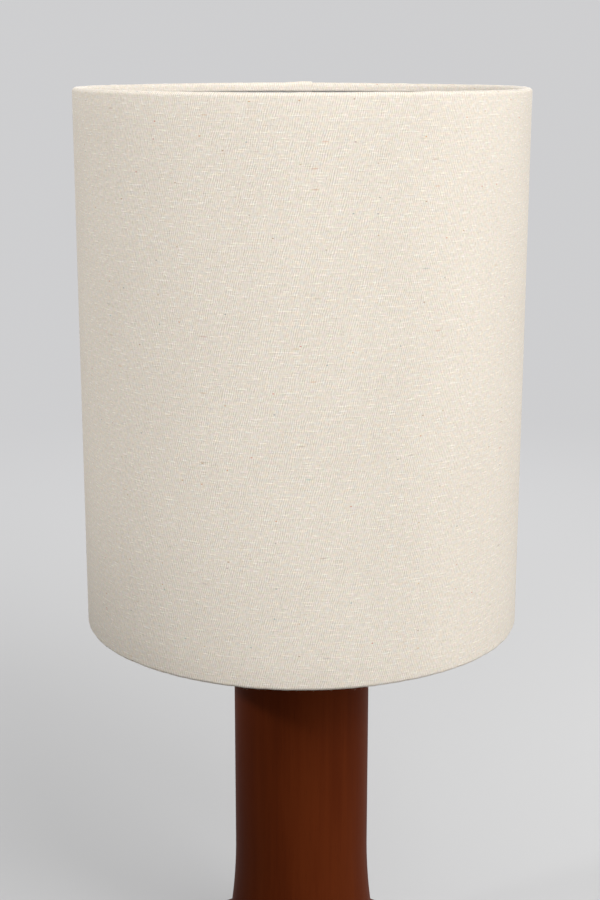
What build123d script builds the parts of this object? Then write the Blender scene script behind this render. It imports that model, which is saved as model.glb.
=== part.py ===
from build123d import *
import os
from math import acos, asin, atan2, cos, degrees, hypot, pi, radians, sin, tan

# Column table lamp with a drum shade. Millimetres, +Z up, origin on the table under the foot's centre.
# The front is -Y and the cord leaves at the back, +Y.

os.makedirs("parts", exist_ok=True)

# ---------------------------------------------------------------- driving sizes

# Foot and column, turned wood
felt_thickness = 2.0
felt_margin = 8.0  # from the felt's edge to the foot's rim
foot_edge_height = 27.3  # of the rim, up to its sharp corner
foot_land = 12.0  # sloping border between the rim and the cove
foot_land_slope = 6.0  # degrees from level
foot_top_rounding = 6.0
foot_bottom_rounding = 4.0
cove_radius = 46.0
column_radius = 57.0
column_length = 360.6
column_top_rounding = 3.0
column_bore_radius = 38.0
column_crown = 25.0  # solid wood over the bore
flare_height = 70.0
flare_radius = 465.0
spigot_height = 12.0
spigot_clearance = 0.1

# Lamp pipe and what it clamps
pipe_radius = 4.95
pipe_bore_radius = 3.4
pipe_hole_clearance = 0.25
pipe_end_margin = 1.5  # pipe left below the nut
weight_radius = 72.0
weight_thickness = 14.0
weight_clearance = 4.0
recess_depth = 28.0
base_washer_radius = 14.0
base_washer_thickness = 1.5
lock_washer_radius = 8.0
lock_washer_thickness = 1.0
lock_washer_teeth = 12
nut_width = 14.0  # across the flats
nut_thickness = 4.0

# Cord outlet at the back of the foot
outlet_height = 13.0
outlet_bore_radius = 4.0
outlet_channel_radius = 4.8
bushing_barrel_radius = 5.4
bushing_barrel_length = 12.0
bushing_flange_radius = 6.8
bushing_flange_thickness = 1.8
bushing_clearance = 0.05

# Brass on top of the column
column_cap_radius = 38.0
column_cap_thickness = 1.2
column_cap_boss_radius = 13.0
column_cap_boss_height = 0.8
neck_radius = 8.6
neck_waist_radius = 6.6
neck_band = 2.0
neck_length = 13.8

# Harp
saddle_thickness = 1.4
saddle_margin = 0.8  # metal beside the pipe's hole
saddle_bend = 12.0
saddle_tip_rise = 18.8  # of the tips over the saddle's plate
saddle_tip_width = 3.6
saddle_tip_length = 10.0
harp_height = 304.8  # from the saddle's plate to the seat of the shade
harp_wire_radius = 1.9
harp_leg_spacing = 70.0  # the sleeves pass the bulb as the harp lifts off
harp_leg_length = 34.0  # straight part, up to the bow
harp_bow_half_width = 64.0
harp_bow_rise = 60.0
harp_side_length = 80.0
harp_top_half_width = 18.0
harp_joint_gap = 0.1
sleeve_radius = 3.6
sleeve_bore_radius = 2.0
sleeve_length = 16.0
sleeve_overlap = 8.0  # of the sleeve over the saddle's tip
bracket_length = 16.0
bracket_width = 10.0
bracket_skirt = 3.4
bracket_clearance = 0.05
stud_radius = 3.175
stud_flange_radius = 7.0
stud_flange_thickness = 2.0
stud_pivot_radius = 2.5
stud_pivot_length = 5.5
stud_pivot_clearance = 0.05
bracket_web = 0.8  # metal between the pivot's hole and the wire's hole

# Shade
shade_radius = 178.0
shade_height = 431.1
cloth_thickness = 0.8
liner_thickness = 0.5
ring_wire_radius = 1.6
ring_clearance = 0.05
hem_depth = 6.5
seam_lap_right = 9.4
seam_lap_left = 12.5
spider_recess = 26.0  # from the hub's seat up to the shade's rim
hub_radius = 16.0
hub_thickness = 1.6
hub_clearance = 0.125
arm_wire_radius = 1.6
arm_count = 3
arm_first_angle = 30.0
arm_inner_end = 10.8
arm_bend = 9.0
arm_notch_clearance = 0.4

# Finial
finial_height = 16.0
finial_base_radius = 9.5
finial_base_height = 3.0
finial_waist_radius = 5.6
finial_grip_radius = 8.0
finial_thread_clearance = 0.075
finial_bore_depth = 11.5
finial_flutes = 18
stud_engagement = 10.0  # of the stud in the finial

# Socket
socket_cap_hub_radius = 8.5
socket_cap_hub_height = 5.3
socket_cap_collar = 8.8
socket_cap_radius = 19.4
socket_cap_wall = 0.8
socket_cap_rise = 12.8
socket_cap_height = 23.8
thread_clearance = 0.05
shell_clearance = 0.1
shell_wall = 0.5
shell_length = 40.0
shell_lap = 5.0  # of the shell inside the cap
shell_bead = 0.9
paper_thickness = 0.5
paper_clearance = 0.1
paper_seat = 1.05  # of the cap's floor over its hub, where the paper lies
core_clearance = 0.6  # between the core and the paper round it
core_height = 22.0
screw_shell_radius = 13.6
screw_shell_wall = 0.5
screw_shell_height = 23.0
contact_thickness = 1.2
contact_width = 8.0
terminal_head_radius = 3.2
terminal_head_thickness = 1.4
terminal_shank_radius = 1.6
terminal_shank_length = 6.0
terminal_rise = 8.0
terminal_recess = 1.8
set_screw_radius = 1.5
set_screw_length = 4.4
switch_rise = 15.0  # of the shaft over the core's foot
switch_shaft_radius = 1.9
switch_shaft_clearance = 0.08
switch_cam_radius = 5.5
switch_cam_length = 6.0
switch_cam_clearance = 0.3
switch_hole_radius = 3.2
knob_gap = 1.5
knob_length = 18.0
knob_radius = 6.0
knob_root_radius = 4.6
knob_ribs = 12
knob_bore_depth = 12.0

# Bulb
bulb_length = 108.0
bulb_radius = 30.0
bulb_neck_radius = 14.0
bulb_shoulder_radius = 40.0
bulb_wall = 0.8
bulb_base_clearance = 0.1
bulb_base_wall = 0.3
bulb_base_length = 24.0
bulb_contact_radius = 4.2
bulb_contact_height = 1.4
bulb_insulator_height = 3.4
bulb_insulator_radius = 9.5
bulb_root_length = 6.0
stem_radius = 3.0
stem_height = 30.0
filament_rise = 52.0
filament_half_span = 11.0
filament_wire_radius = 0.4

# ---------------------------------------------------------------- places that follow from them

flare_angle = degrees(asin(flare_height / flare_radius))
seam_radius = column_radius + flare_radius * (1 - cos(radians(flare_angle)))
cove_end_angle = 90 - foot_land_slope
cove_centre_x = seam_radius + cove_radius * cos(radians(flare_angle))
cove_end_radius = cove_centre_x - cove_radius * cos(radians(cove_end_angle))
foot_rim_radius = cove_end_radius + foot_land
foot_corner_z = felt_thickness + foot_edge_height
cove_end_z = foot_corner_z + foot_land * tan(radians(foot_land_slope))
cove_centre_z = cove_end_z + cove_radius * sin(radians(cove_end_angle))
seam_z = cove_centre_z - cove_radius * sin(radians(flare_angle))
spigot_radius = column_bore_radius - spigot_clearance

recess_radius = weight_radius + weight_clearance
recess_roof_z = felt_thickness + recess_depth
pipe_hole_radius = pipe_radius + pipe_hole_clearance
weight_z = recess_roof_z - weight_thickness
base_washer_z = weight_z - base_washer_thickness
lock_washer_z = base_washer_z - lock_washer_thickness
nut_z = lock_washer_z - nut_thickness
pipe_bottom_z = nut_z - pipe_end_margin

column_top_z = seam_z + column_length
neck_z = column_top_z + column_cap_thickness + column_cap_boss_height
saddle_z = neck_z + neck_length
socket_z = saddle_z + saddle_thickness
saddle_width = 2 * (pipe_hole_radius + saddle_margin)
pipe_top_z = socket_z + socket_cap_collar - 1
harp_leg_x = harp_leg_spacing / 2
harp_foot_z = socket_z + saddle_tip_rise
harp_seat_z = socket_z + harp_height
bracket_top_z = harp_seat_z - stud_flange_thickness
wire_hole_radius = harp_wire_radius + bracket_clearance
harp_top_z = bracket_top_z - stud_pivot_length - bracket_web - wire_hole_radius

shade_top_z = harp_seat_z + spider_recess
shade_bottom_z = shade_top_z - shade_height
cloth_inner_radius = shade_radius - cloth_thickness
liner_inner_radius = cloth_inner_radius - liner_thickness
ring_centre_radius = liner_inner_radius - ring_clearance - ring_wire_radius
roll_radius = shade_radius - ring_centre_radius
top_ring_z = shade_top_z - roll_radius
bottom_ring_z = shade_bottom_z + roll_radius
hub_top_z = harp_seat_z + hub_thickness
arm_z = hub_top_z + arm_wire_radius
arm_top_z = top_ring_z - ring_wire_radius  # the legs meet the ring from below
stud_top_z = hub_top_z + stud_engagement

shell_radius = socket_cap_radius - socket_cap_wall - shell_clearance
shell_z = socket_z + socket_cap_height - shell_lap
shell_paper_radius = shell_radius - shell_wall - paper_clearance
cap_slope = (socket_cap_rise - socket_cap_hub_height) / (socket_cap_radius - socket_cap_hub_radius)
cap_floor_rise = socket_cap_hub_height + paper_seat
cap_paper_radius = shell_paper_radius - paper_thickness - paper_clearance
core_radius = shell_paper_radius - paper_thickness - core_clearance
core_seat_rise = cap_floor_rise + 2 * paper_clearance + paper_thickness
core_z = socket_z + core_seat_rise + cap_slope * (core_radius - socket_cap_hub_radius)
paper_foot_rise = cap_slope * (shell_paper_radius - socket_cap_hub_radius) + paper_clearance
shell_paper_z = socket_z + cap_floor_rise + paper_foot_rise
core_top_z = core_z + core_height
shell_top_z = shell_z + shell_length
switch_z = core_z + switch_rise
screw_shell_bore = screw_shell_radius - screw_shell_wall
bulb_z = core_top_z + contact_thickness
bulb_top_z = bulb_z + bulb_length
bulb_base_radius = screw_shell_bore - bulb_base_clearance
bulb_base_z = bulb_z + bulb_contact_height + bulb_insulator_height
bulb_base_top_z = bulb_base_z + bulb_base_length
bulb_centre_z = bulb_top_z - bulb_radius

centred_low = (Align.CENTER, Align.CENTER, Align.MIN)


def facing_back(y, z):
    """Sketch plane that faces the back, at depth y and height z."""
    return Plane(origin=(0, y, z), x_dir=(1, 0, 0), z_dir=(0, 1, 0))


def facing_front(y, z):
    """Sketch plane that faces the front, at depth y and height z."""
    return Plane(origin=(0, y, z), x_dir=(1, 0, 0), z_dir=(0, -1, 0))


# ---------------------------------------------------------------- foot

with BuildPart() as felt_pad:
    Cylinder(foot_rim_radius - felt_margin, felt_thickness, align=centred_low)
felt_pad.part.label = "felt_pad"
export_step(felt_pad.part, "parts/felt_pad.step")

with BuildPart() as foot:
    with BuildSketch(Plane.XZ) as foot_outline:
        with BuildLine():
            Polyline(
                (0, felt_thickness),
                (foot_rim_radius, felt_thickness),
                (foot_rim_radius, foot_corner_z),
                (cove_end_radius, cove_end_z),
            )
            CenterArc(
                (cove_centre_x, cove_centre_z), cove_radius, 180 + flare_angle, cove_end_angle - flare_angle
            )
            Polyline(
                (seam_radius, seam_z),
                (spigot_radius, seam_z),
                (spigot_radius, seam_z + spigot_height),
                (0, seam_z + spigot_height),
                (0, felt_thickness),
            )
        make_face()
        rim_corners = foot_outline.vertices().group_by(Axis.X)[-1].sort_by(Axis.Y)
        fillet(rim_corners[-1], foot_top_rounding)
        fillet(foot_outline.vertices().group_by(Axis.Y)[0].sort_by(Axis.X)[-1], foot_bottom_rounding)
    revolve(axis=Axis.Z)
    with BuildSketch(Plane.XY.offset(felt_thickness)):
        Circle(recess_radius)
    extrude(amount=recess_depth, mode=Mode.SUBTRACT)
    with BuildSketch(Plane.XY.offset(recess_roof_z)):
        Circle(pipe_hole_radius)
    extrude(amount=seam_z + spigot_height - recess_roof_z, mode=Mode.SUBTRACT)
    bushing_seat_y = foot_rim_radius - bushing_flange_thickness
    with BuildSketch(facing_back(recess_radius - weight_clearance, outlet_height)):
        Circle(outlet_channel_radius)
    extrude(amount=foot_rim_radius, mode=Mode.SUBTRACT)
    with BuildSketch(facing_back(bushing_seat_y - bushing_barrel_length, outlet_height)):
        Circle(bushing_barrel_radius + bushing_clearance)
    extrude(amount=foot_rim_radius, mode=Mode.SUBTRACT)
    with BuildSketch(facing_back(bushing_seat_y, outlet_height)):
        Circle(bushing_flange_radius + bushing_clearance)
    extrude(amount=foot_rim_radius, mode=Mode.SUBTRACT)
foot.part.label = "foot"
export_step(foot.part, "parts/foot.step")

with BuildPart() as cord_bushing:
    with BuildSketch(facing_back(bushing_seat_y - bushing_barrel_length, outlet_height)):
        Circle(bushing_barrel_radius)
        Circle(outlet_bore_radius, mode=Mode.SUBTRACT)
    extrude(amount=bushing_barrel_length)
    with BuildSketch(facing_back(bushing_seat_y, outlet_height)):
        Circle(bushing_flange_radius)
        Circle(outlet_bore_radius, mode=Mode.SUBTRACT)
    extrude(amount=bushing_flange_thickness)
    outer_rim = cord_bushing.edges().group_by(Axis.Y)[-1].sort_by(SortBy.RADIUS)[-1]
    fillet(outer_rim, bushing_flange_thickness / 2)
cord_bushing.part.label = "cord_bushing"
export_step(cord_bushing.part, "parts/cord_bushing.step")

with BuildPart() as base_weight:
    with BuildSketch(Plane.XY.offset(weight_z)):
        Circle(weight_radius)
        Circle(pipe_hole_radius, mode=Mode.SUBTRACT)
    extrude(amount=weight_thickness)
    fillet(base_weight.edges().group_by(Axis.Z)[0].sort_by(SortBy.RADIUS)[-1], base_washer_thickness)
base_weight.part.label = "base_weight"
export_step(base_weight.part, "parts/base_weight.step")

with BuildPart() as base_washer:
    with BuildSketch(Plane.XY.offset(base_washer_z)):
        Circle(base_washer_radius)
        Circle(pipe_hole_radius, mode=Mode.SUBTRACT)
    extrude(amount=base_washer_thickness)
base_washer.part.label = "base_washer"
export_step(base_washer.part, "parts/base_washer.step")

with BuildPart() as lock_washer:
    with BuildSketch(Plane.XY.offset(lock_washer_z)):
        Circle(lock_washer_radius)
        Circle(pipe_hole_radius, mode=Mode.SUBTRACT)
        tooth_gap = pi * lock_washer_radius / lock_washer_teeth
        with PolarLocations(lock_washer_radius, lock_washer_teeth):
            Rectangle(tooth_gap, tooth_gap, mode=Mode.SUBTRACT)
    extrude(amount=lock_washer_thickness)
lock_washer.part.label = "lock_washer"
export_step(lock_washer.part, "parts/lock_washer.step")

with BuildPart() as base_nut:
    with BuildSketch(Plane.XY.offset(nut_z)):
        RegularPolygon(nut_width / 2, 6, major_radius=False)
        Circle(pipe_radius + thread_clearance, mode=Mode.SUBTRACT)
    extrude(amount=nut_thickness)
base_nut.part.label = "base_nut"
export_step(base_nut.part, "parts/base_nut.step")

with BuildPart() as lamp_pipe:
    with BuildSketch(Plane.XY.offset(pipe_bottom_z)):
        Circle(pipe_radius)
        Circle(pipe_bore_radius, mode=Mode.SUBTRACT)
    extrude(amount=pipe_top_z - pipe_bottom_z)
lamp_pipe.part.label = "lamp_pipe"
export_step(lamp_pipe.part, "parts/lamp_pipe.step")

# ---------------------------------------------------------------- column

with BuildPart() as column:
    with BuildSketch(Plane.XZ) as column_outline:
        with BuildLine():
            Polyline(
                (0, seam_z),
                (seam_radius, seam_z),
            )
            CenterArc((column_radius + flare_radius, seam_z + flare_height), flare_radius, 180, flare_angle)
            Polyline(
                (column_radius, seam_z + flare_height),
                (column_radius, column_top_z),
                (0, column_top_z),
                (0, seam_z),
            )
        make_face()
        fillet(column_outline.vertices().group_by(Axis.Y)[-1].sort_by(Axis.X)[-1], column_top_rounding)
    revolve(axis=Axis.Z)
    with BuildSketch(Plane.XY.offset(seam_z)):
        Circle(column_bore_radius)
    extrude(amount=column_length - column_crown, mode=Mode.SUBTRACT)
    with BuildSketch(Plane.XY.offset(seam_z)):
        Circle(pipe_hole_radius)
    extrude(amount=column_length, mode=Mode.SUBTRACT)
column.part.label = "column"
export_step(column.part, "parts/column.step")

with BuildPart() as column_cap:
    with BuildSketch(Plane.XZ):
        with BuildLine():
            Polyline(
                (pipe_hole_radius, column_top_z),
                (column_cap_radius, column_top_z),
                (column_cap_radius, column_top_z + column_cap_thickness),
                (column_cap_boss_radius, column_top_z + column_cap_thickness),
                (column_cap_boss_radius, neck_z),
                (pipe_hole_radius, neck_z),
                close=True,
            )
        make_face()
    revolve(axis=Axis.Z)
    cap_rim = column_cap.edges().filter_by(GeomType.CIRCLE).group_by(SortBy.RADIUS)[-1].sort_by(Axis.Z)[-1]
    fillet(cap_rim, column_cap_thickness / 2)
column_cap.part.label = "column_cap"
export_step(column_cap.part, "parts/column_cap.step")

with BuildPart() as neck:
    with BuildSketch(Plane.XZ):
        with BuildLine():
            Polyline(
                (neck_radius, neck_z + neck_length - neck_band),
                (neck_radius, saddle_z),
                (pipe_hole_radius, saddle_z),
                (pipe_hole_radius, neck_z),
                (neck_radius, neck_z),
                (neck_radius, neck_z + neck_band),
            )
            ThreePointArc(
                (neck_radius, neck_z + neck_band),
                (neck_waist_radius, neck_z + neck_length / 2),
                (neck_radius, neck_z + neck_length - neck_band),
            )
        make_face()
    revolve(axis=Axis.Z)
neck.part.label = "neck"
export_step(neck.part, "parts/neck.step")

# ---------------------------------------------------------------- harp

saddle_half = harp_leg_x + saddle_thickness / 2
with BuildPart() as harp_saddle:
    with BuildSketch(Plane.XZ) as saddle_side:
        with BuildLine():
            FilletPolyline(
                (-saddle_half, harp_foot_z),
                (-saddle_half, saddle_z),
                (saddle_half, saddle_z),
                (saddle_half, harp_foot_z),
                radius=saddle_bend + saddle_thickness,
            )
            Line((saddle_half, harp_foot_z), (saddle_half - saddle_thickness, harp_foot_z))
            FilletPolyline(
                (saddle_half - saddle_thickness, harp_foot_z),
                (saddle_half - saddle_thickness, socket_z),
                (saddle_thickness - saddle_half, socket_z),
                (saddle_thickness - saddle_half, harp_foot_z),
                radius=saddle_bend,
            )
            Line((saddle_thickness - saddle_half, harp_foot_z), (-saddle_half, harp_foot_z))
        make_face()
    extrude(amount=saddle_width / 2, both=True)
    side_cut = (saddle_width - saddle_tip_width) / 2
    with BuildSketch(Plane.XY.offset(harp_foot_z)):
        with GridLocations(0, saddle_tip_width + side_cut, 1, 2):
            Rectangle(2 * saddle_half + saddle_width, side_cut)
    extrude(amount=-saddle_tip_length, mode=Mode.SUBTRACT)
    with BuildSketch(Plane.XY.offset(saddle_z)):
        Circle(pipe_hole_radius)
    extrude(amount=saddle_thickness, mode=Mode.SUBTRACT)
harp_saddle.part.label = "harp_saddle"
export_step(harp_saddle.part, "parts/harp_saddle.step")

bow_z = harp_foot_z + harp_leg_length
harp_side = [
    (harp_leg_x, harp_foot_z + harp_joint_gap),
    (harp_leg_x, bow_z),
    (harp_bow_half_width, bow_z + harp_bow_rise),
    (harp_bow_half_width, bow_z + harp_bow_rise + harp_side_length),
    (harp_top_half_width, harp_top_z),
]
harp_bends = [45.0, 110.0, 200.0, 12.0]
with BuildPart() as harp_hoop:
    with BuildLine(Plane.XZ) as harp_path:
        FilletPolyline(
            *harp_side,
            *[(-x, z) for x, z in reversed(harp_side)],
            radius=harp_bends + harp_bends[::-1],
        )
    with BuildSketch(Plane.XY.offset(harp_foot_z + harp_joint_gap)):
        with Locations((harp_leg_x, 0)):
            Circle(harp_wire_radius)
    sweep(path=harp_path.wires()[0])
harp_hoop.part.label = "harp_hoop"
export_step(harp_hoop.part, "parts/harp_hoop.step")


def make_sleeve(leg_x):
    """Ferrule round one leg of the harp, with a bead at each end."""
    low = harp_foot_z - sleeve_overlap
    high = low + sleeve_length
    with BuildPart() as sleeve:
        with Locations((leg_x, 0, low)):
            Cylinder(sleeve_radius, sleeve_length, align=centred_low)
            fillet(sleeve.edges().filter_by(GeomType.CIRCLE), sleeve_radius / 4)
            Cylinder(sleeve_bore_radius, high - low, align=centred_low, mode=Mode.SUBTRACT)
    return sleeve


sleeve_left = make_sleeve(-harp_leg_x)
sleeve_left.part.label = "sleeve_left"
export_step(sleeve_left.part, "parts/sleeve_left.step")

sleeve_right = make_sleeve(harp_leg_x)
sleeve_right.part.label = "sleeve_right"
export_step(sleeve_right.part, "parts/sleeve_right.step")

with BuildPart() as harp_bracket:
    bracket_low = harp_top_z - bracket_skirt
    with BuildSketch(Plane.XY.offset(bracket_low)):
        RectangleRounded(bracket_length, bracket_width, bracket_width / 4)
    extrude(amount=bracket_top_z - bracket_low)
    with BuildSketch(Plane.YZ.offset(-bracket_length / 2)):
        with Locations((0, harp_top_z)):
            Circle(wire_hole_radius)
    extrude(amount=bracket_length, mode=Mode.SUBTRACT)
    with BuildSketch(Plane.XY.offset(bracket_top_z)):
        Circle(stud_pivot_radius + stud_pivot_clearance)
    extrude(amount=-stud_pivot_length, mode=Mode.SUBTRACT)
harp_bracket.part.label = "harp_bracket"
export_step(harp_bracket.part, "parts/harp_bracket.step")

with BuildPart() as harp_stud:
    with BuildSketch(Plane.XY.offset(bracket_top_z)):
        Circle(stud_pivot_radius)
    extrude(amount=-(stud_pivot_length - stud_pivot_clearance))
    with BuildSketch(Plane.XY.offset(bracket_top_z)):
        Circle(stud_flange_radius)
    extrude(amount=stud_flange_thickness)
    with BuildSketch(Plane.XY.offset(harp_seat_z)):
        Circle(stud_radius)
    extrude(amount=stud_top_z - harp_seat_z)
    chamfer(harp_stud.edges().group_by(Axis.Z)[-1], stud_radius / 5)
harp_stud.part.label = "harp_stud"
export_step(harp_stud.part, "parts/harp_stud.step")

# ---------------------------------------------------------------- shade


def tube(outer, inner, low, high):
    """Draw a plain upright tube into the open part."""
    with BuildSketch(Plane.XY.offset(low)) as ring:
        Circle(outer)
        Circle(inner, mode=Mode.SUBTRACT)
    extrude(ring.sketch, amount=high - low)


with BuildPart() as shade_cloth:
    tube(shade_radius, cloth_inner_radius, bottom_ring_z, top_ring_z)
shade_cloth.part.label = "shade_cloth"
export_step(shade_cloth.part, "parts/shade_cloth.step")

with BuildPart() as shade_liner:
    tube(cloth_inner_radius, liner_inner_radius, bottom_ring_z, top_ring_z)
shade_liner.part.label = "shade_liner"
export_step(shade_liner.part, "parts/shade_liner.step")

with BuildPart() as shade_top_ring:
    with BuildSketch(Plane.XZ):
        with Locations((ring_centre_radius, top_ring_z)):
            Circle(ring_wire_radius)
    revolve(axis=Axis.Z)
shade_top_ring.part.label = "shade_top_ring"
export_step(shade_top_ring.part, "parts/shade_top_ring.step")

with BuildPart() as shade_bottom_ring:
    with BuildSketch(Plane.XZ):
        with Locations((ring_centre_radius, bottom_ring_z)):
            Circle(ring_wire_radius)
    revolve(axis=Axis.Z)
shade_bottom_ring.part.label = "shade_bottom_ring"
export_step(shade_bottom_ring.part, "parts/shade_bottom_ring.step")


def hem_section(ring_z, upward):
    """Cloth rolled over a ring: from the shade's outside, over the wire and back to the lining."""
    inner = ring_wire_radius + ring_clearance
    reach = liner_inner_radius - ring_clearance - ring_centre_radius
    drop = hem_depth - roll_radius
    # the roll leaves the wire where its tangent meets the lining, hem_depth from the rim
    wrap = 360 + degrees(atan2(-drop, reach)) - degrees(acos(roll_radius / hypot(reach, drop)))
    run = (reach - inner * cos(radians(wrap))) / -sin(radians(wrap))
    inner_drop = inner * sin(radians(wrap)) + run * cos(radians(wrap))
    side = 1 if upward else -1

    def at(x, z):
        return (ring_centre_radius + x, ring_z + side * z)

    centre = at(0, 0)
    with BuildLine() as section:
        CenterArc(centre, roll_radius, 0, side * wrap)
        CenterArc(centre, inner, 0, side * wrap)
        Line(at(inner, 0), at(roll_radius, 0))
        Polyline(
            at(roll_radius * cos(radians(wrap)), roll_radius * sin(radians(wrap))),
            at(reach, -drop),
            at(reach, inner_drop),
            at(inner * cos(radians(wrap)), inner * sin(radians(wrap))),
        )
    make_face(section.edges())


with BuildPart() as shade_top_hem:
    with BuildSketch(Plane.XZ):
        hem_section(top_ring_z, True)
    revolve(axis=Axis.Z)
    with BuildSketch(Plane.XY.offset(shade_top_z - hem_depth - 1)):
        with PolarLocations(ring_centre_radius, arm_count, arm_first_angle):
            Circle(arm_wire_radius + arm_notch_clearance)
    extrude(amount=arm_top_z - shade_top_z + hem_depth + 1, mode=Mode.SUBTRACT)
shade_top_hem.part.label = "shade_top_hem"
export_step(shade_top_hem.part, "parts/shade_top_hem.step")

with BuildPart() as shade_bottom_hem:
    with BuildSketch(Plane.XZ):
        hem_section(bottom_ring_z, False)
    revolve(axis=Axis.Z)
shade_bottom_hem.part.label = "shade_bottom_hem"
export_step(shade_bottom_hem.part, "parts/shade_bottom_hem.step")

lap_start = 90 - degrees(asin(seam_lap_right / shade_radius))
lap_sweep = degrees(asin(seam_lap_right / shade_radius)) + degrees(asin(seam_lap_left / shade_radius))
with BuildPart() as shade_seam:
    lap_plane = Plane.XZ.rotated((0, 0, lap_start))
    with BuildSketch(lap_plane):
        with Locations((shade_radius, bottom_ring_z)):
            Rectangle(cloth_thickness, top_ring_z - bottom_ring_z, align=(Align.MIN, Align.MIN))
    revolve(axis=Axis.Z, revolution_arc=lap_sweep)
shade_seam.part.label = "shade_seam"
export_step(shade_seam.part, "parts/shade_seam.step")

with BuildPart() as spider_hub:
    tube(hub_radius, stud_radius + hub_clearance, harp_seat_z, hub_top_z)
spider_hub.part.label = "spider_hub"
export_step(spider_hub.part, "parts/spider_hub.step")

with BuildPart() as spider_arm:
    with BuildLine(Plane.XZ) as arm_path:
        FilletPolyline(
            (arm_inner_end, arm_z),
            (ring_centre_radius, arm_z),
            (ring_centre_radius, arm_top_z),
            radius=arm_bend,
        )
    with BuildSketch(Plane.YZ.offset(arm_inner_end)):
        with Locations((0, arm_z)):
            Circle(arm_wire_radius)
    sweep(path=arm_path.wires()[0])

with BuildPart() as spider_arms:
    with PolarLocations(0, arm_count, arm_first_angle):
        add(spider_arm.part)
spider_arms.part.label = "spider_arms"
export_step(spider_arms.part, "parts/spider_arms.step")

with BuildPart() as finial:
    finial_top_z = hub_top_z + finial_height
    grip_z = finial_top_z - finial_grip_radius
    with BuildSketch(Plane.XZ):
        with BuildLine():
            Polyline(
                (0, finial_top_z),
                (0, hub_top_z),
                (finial_base_radius, hub_top_z),
                (finial_base_radius, hub_top_z + finial_base_height),
                (finial_waist_radius, hub_top_z + finial_base_height),
                (finial_waist_radius, grip_z - finial_waist_radius / 2),
                (finial_grip_radius, grip_z),
            )
            CenterArc((0, grip_z), finial_grip_radius, 0, 90)
        make_face()
    revolve(axis=Axis.Z)
    with BuildSketch(Plane.XY.offset(hub_top_z)):
        with PolarLocations(finial_base_radius, finial_flutes):
            Circle(finial_base_radius / finial_flutes)
    extrude(amount=finial_base_height, mode=Mode.SUBTRACT)
    with BuildSketch(Plane.XY.offset(hub_top_z)):
        Circle(stud_radius + finial_thread_clearance)
    extrude(amount=finial_bore_depth, mode=Mode.SUBTRACT)
finial.part.label = "finial"
export_step(finial.part, "parts/finial.step")

# ---------------------------------------------------------------- socket

cap_hub_bore = pipe_radius + thread_clearance
cap_rim_inner = socket_cap_radius - socket_cap_wall
cap_floor_outer_z = socket_z + cap_floor_rise + cap_slope * (cap_rim_inner - socket_cap_hub_radius)
with BuildPart() as socket_cap:
    with BuildSketch(Plane.XZ):
        with BuildLine():
            Polyline(
                (cap_hub_bore, socket_z),
                (socket_cap_hub_radius, socket_z),
                (socket_cap_hub_radius, socket_z + socket_cap_hub_height),
                (socket_cap_radius, socket_z + socket_cap_rise),
                (socket_cap_radius, socket_z + socket_cap_height),
                (cap_rim_inner, socket_z + socket_cap_height),
                (cap_rim_inner, cap_floor_outer_z),
                (socket_cap_hub_radius, socket_z + cap_floor_rise),
                (socket_cap_hub_radius, socket_z + socket_cap_collar),
                (cap_hub_bore, socket_z + socket_cap_collar),
                close=True,
            )
        make_face()
    revolve(axis=Axis.Z)
    set_screw_z = socket_z + socket_cap_hub_height / 2
    with BuildSketch(facing_back(0, set_screw_z)):
        Circle(set_screw_radius + thread_clearance)
    extrude(amount=socket_cap_hub_radius, mode=Mode.SUBTRACT)
socket_cap.part.label = "socket_cap"
export_step(socket_cap.part, "parts/socket_cap.step")

with BuildPart() as set_screw:
    with BuildSketch(facing_back(pipe_radius + thread_clearance, set_screw_z)):
        Circle(set_screw_radius)
    extrude(amount=set_screw_length)
    slot_y = pipe_radius + thread_clearance + set_screw_length
    with BuildSketch(facing_front(slot_y, set_screw_z)):
        Rectangle(2 * set_screw_radius, set_screw_radius / 3)
    extrude(amount=set_screw_radius / 2, mode=Mode.SUBTRACT)
set_screw.part.label = "set_screw"
export_step(set_screw.part, "parts/set_screw.step")

with BuildPart() as cap_insulator:
    paper_inner = socket_cap_hub_radius + paper_clearance
    paper_low = socket_z + cap_floor_rise + paper_clearance
    paper_slope = cap_slope * (cap_paper_radius - socket_cap_hub_radius)
    with BuildSketch(Plane.XZ):
        with BuildLine():
            Polyline(
                (paper_inner, paper_low),
                (cap_paper_radius, paper_low + paper_slope),
                (cap_paper_radius, paper_low + paper_slope + paper_thickness),
                (paper_inner, paper_low + paper_thickness),
                close=True,
            )
        make_face()
    revolve(axis=Axis.Z)
cap_insulator.part.label = "cap_insulator"
export_step(cap_insulator.part, "parts/cap_insulator.step")


def switch_way(radius, length):
    """Cut the switch shaft's way out of the open part, towards the front."""
    with BuildSketch(facing_front(0, switch_z)) as way:
        Circle(radius)
    extrude(way.sketch, amount=length, mode=Mode.SUBTRACT)


with BuildPart() as socket_shell:
    tube(shell_radius, shell_radius - shell_wall, shell_z, shell_top_z)
    tube(shell_radius + shell_bead, shell_radius - shell_wall, shell_top_z - 2 * shell_bead, shell_top_z)
    bead_edges = socket_shell.edges().filter_by(GeomType.CIRCLE).group_by(SortBy.RADIUS)[-1]
    fillet(bead_edges, shell_bead * 0.8)
    switch_way(switch_hole_radius, 2 * shell_radius)
socket_shell.part.label = "socket_shell"
export_step(socket_shell.part, "parts/socket_shell.step")

with BuildPart() as shell_insulator:
    paper_top_z = shell_top_z - 2 * shell_bead
    tube(shell_paper_radius, shell_paper_radius - paper_thickness, shell_paper_z, paper_top_z)
    switch_way(switch_hole_radius, 2 * shell_radius)
shell_insulator.part.label = "shell_insulator"
export_step(shell_insulator.part, "parts/shell_insulator.step")

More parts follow.
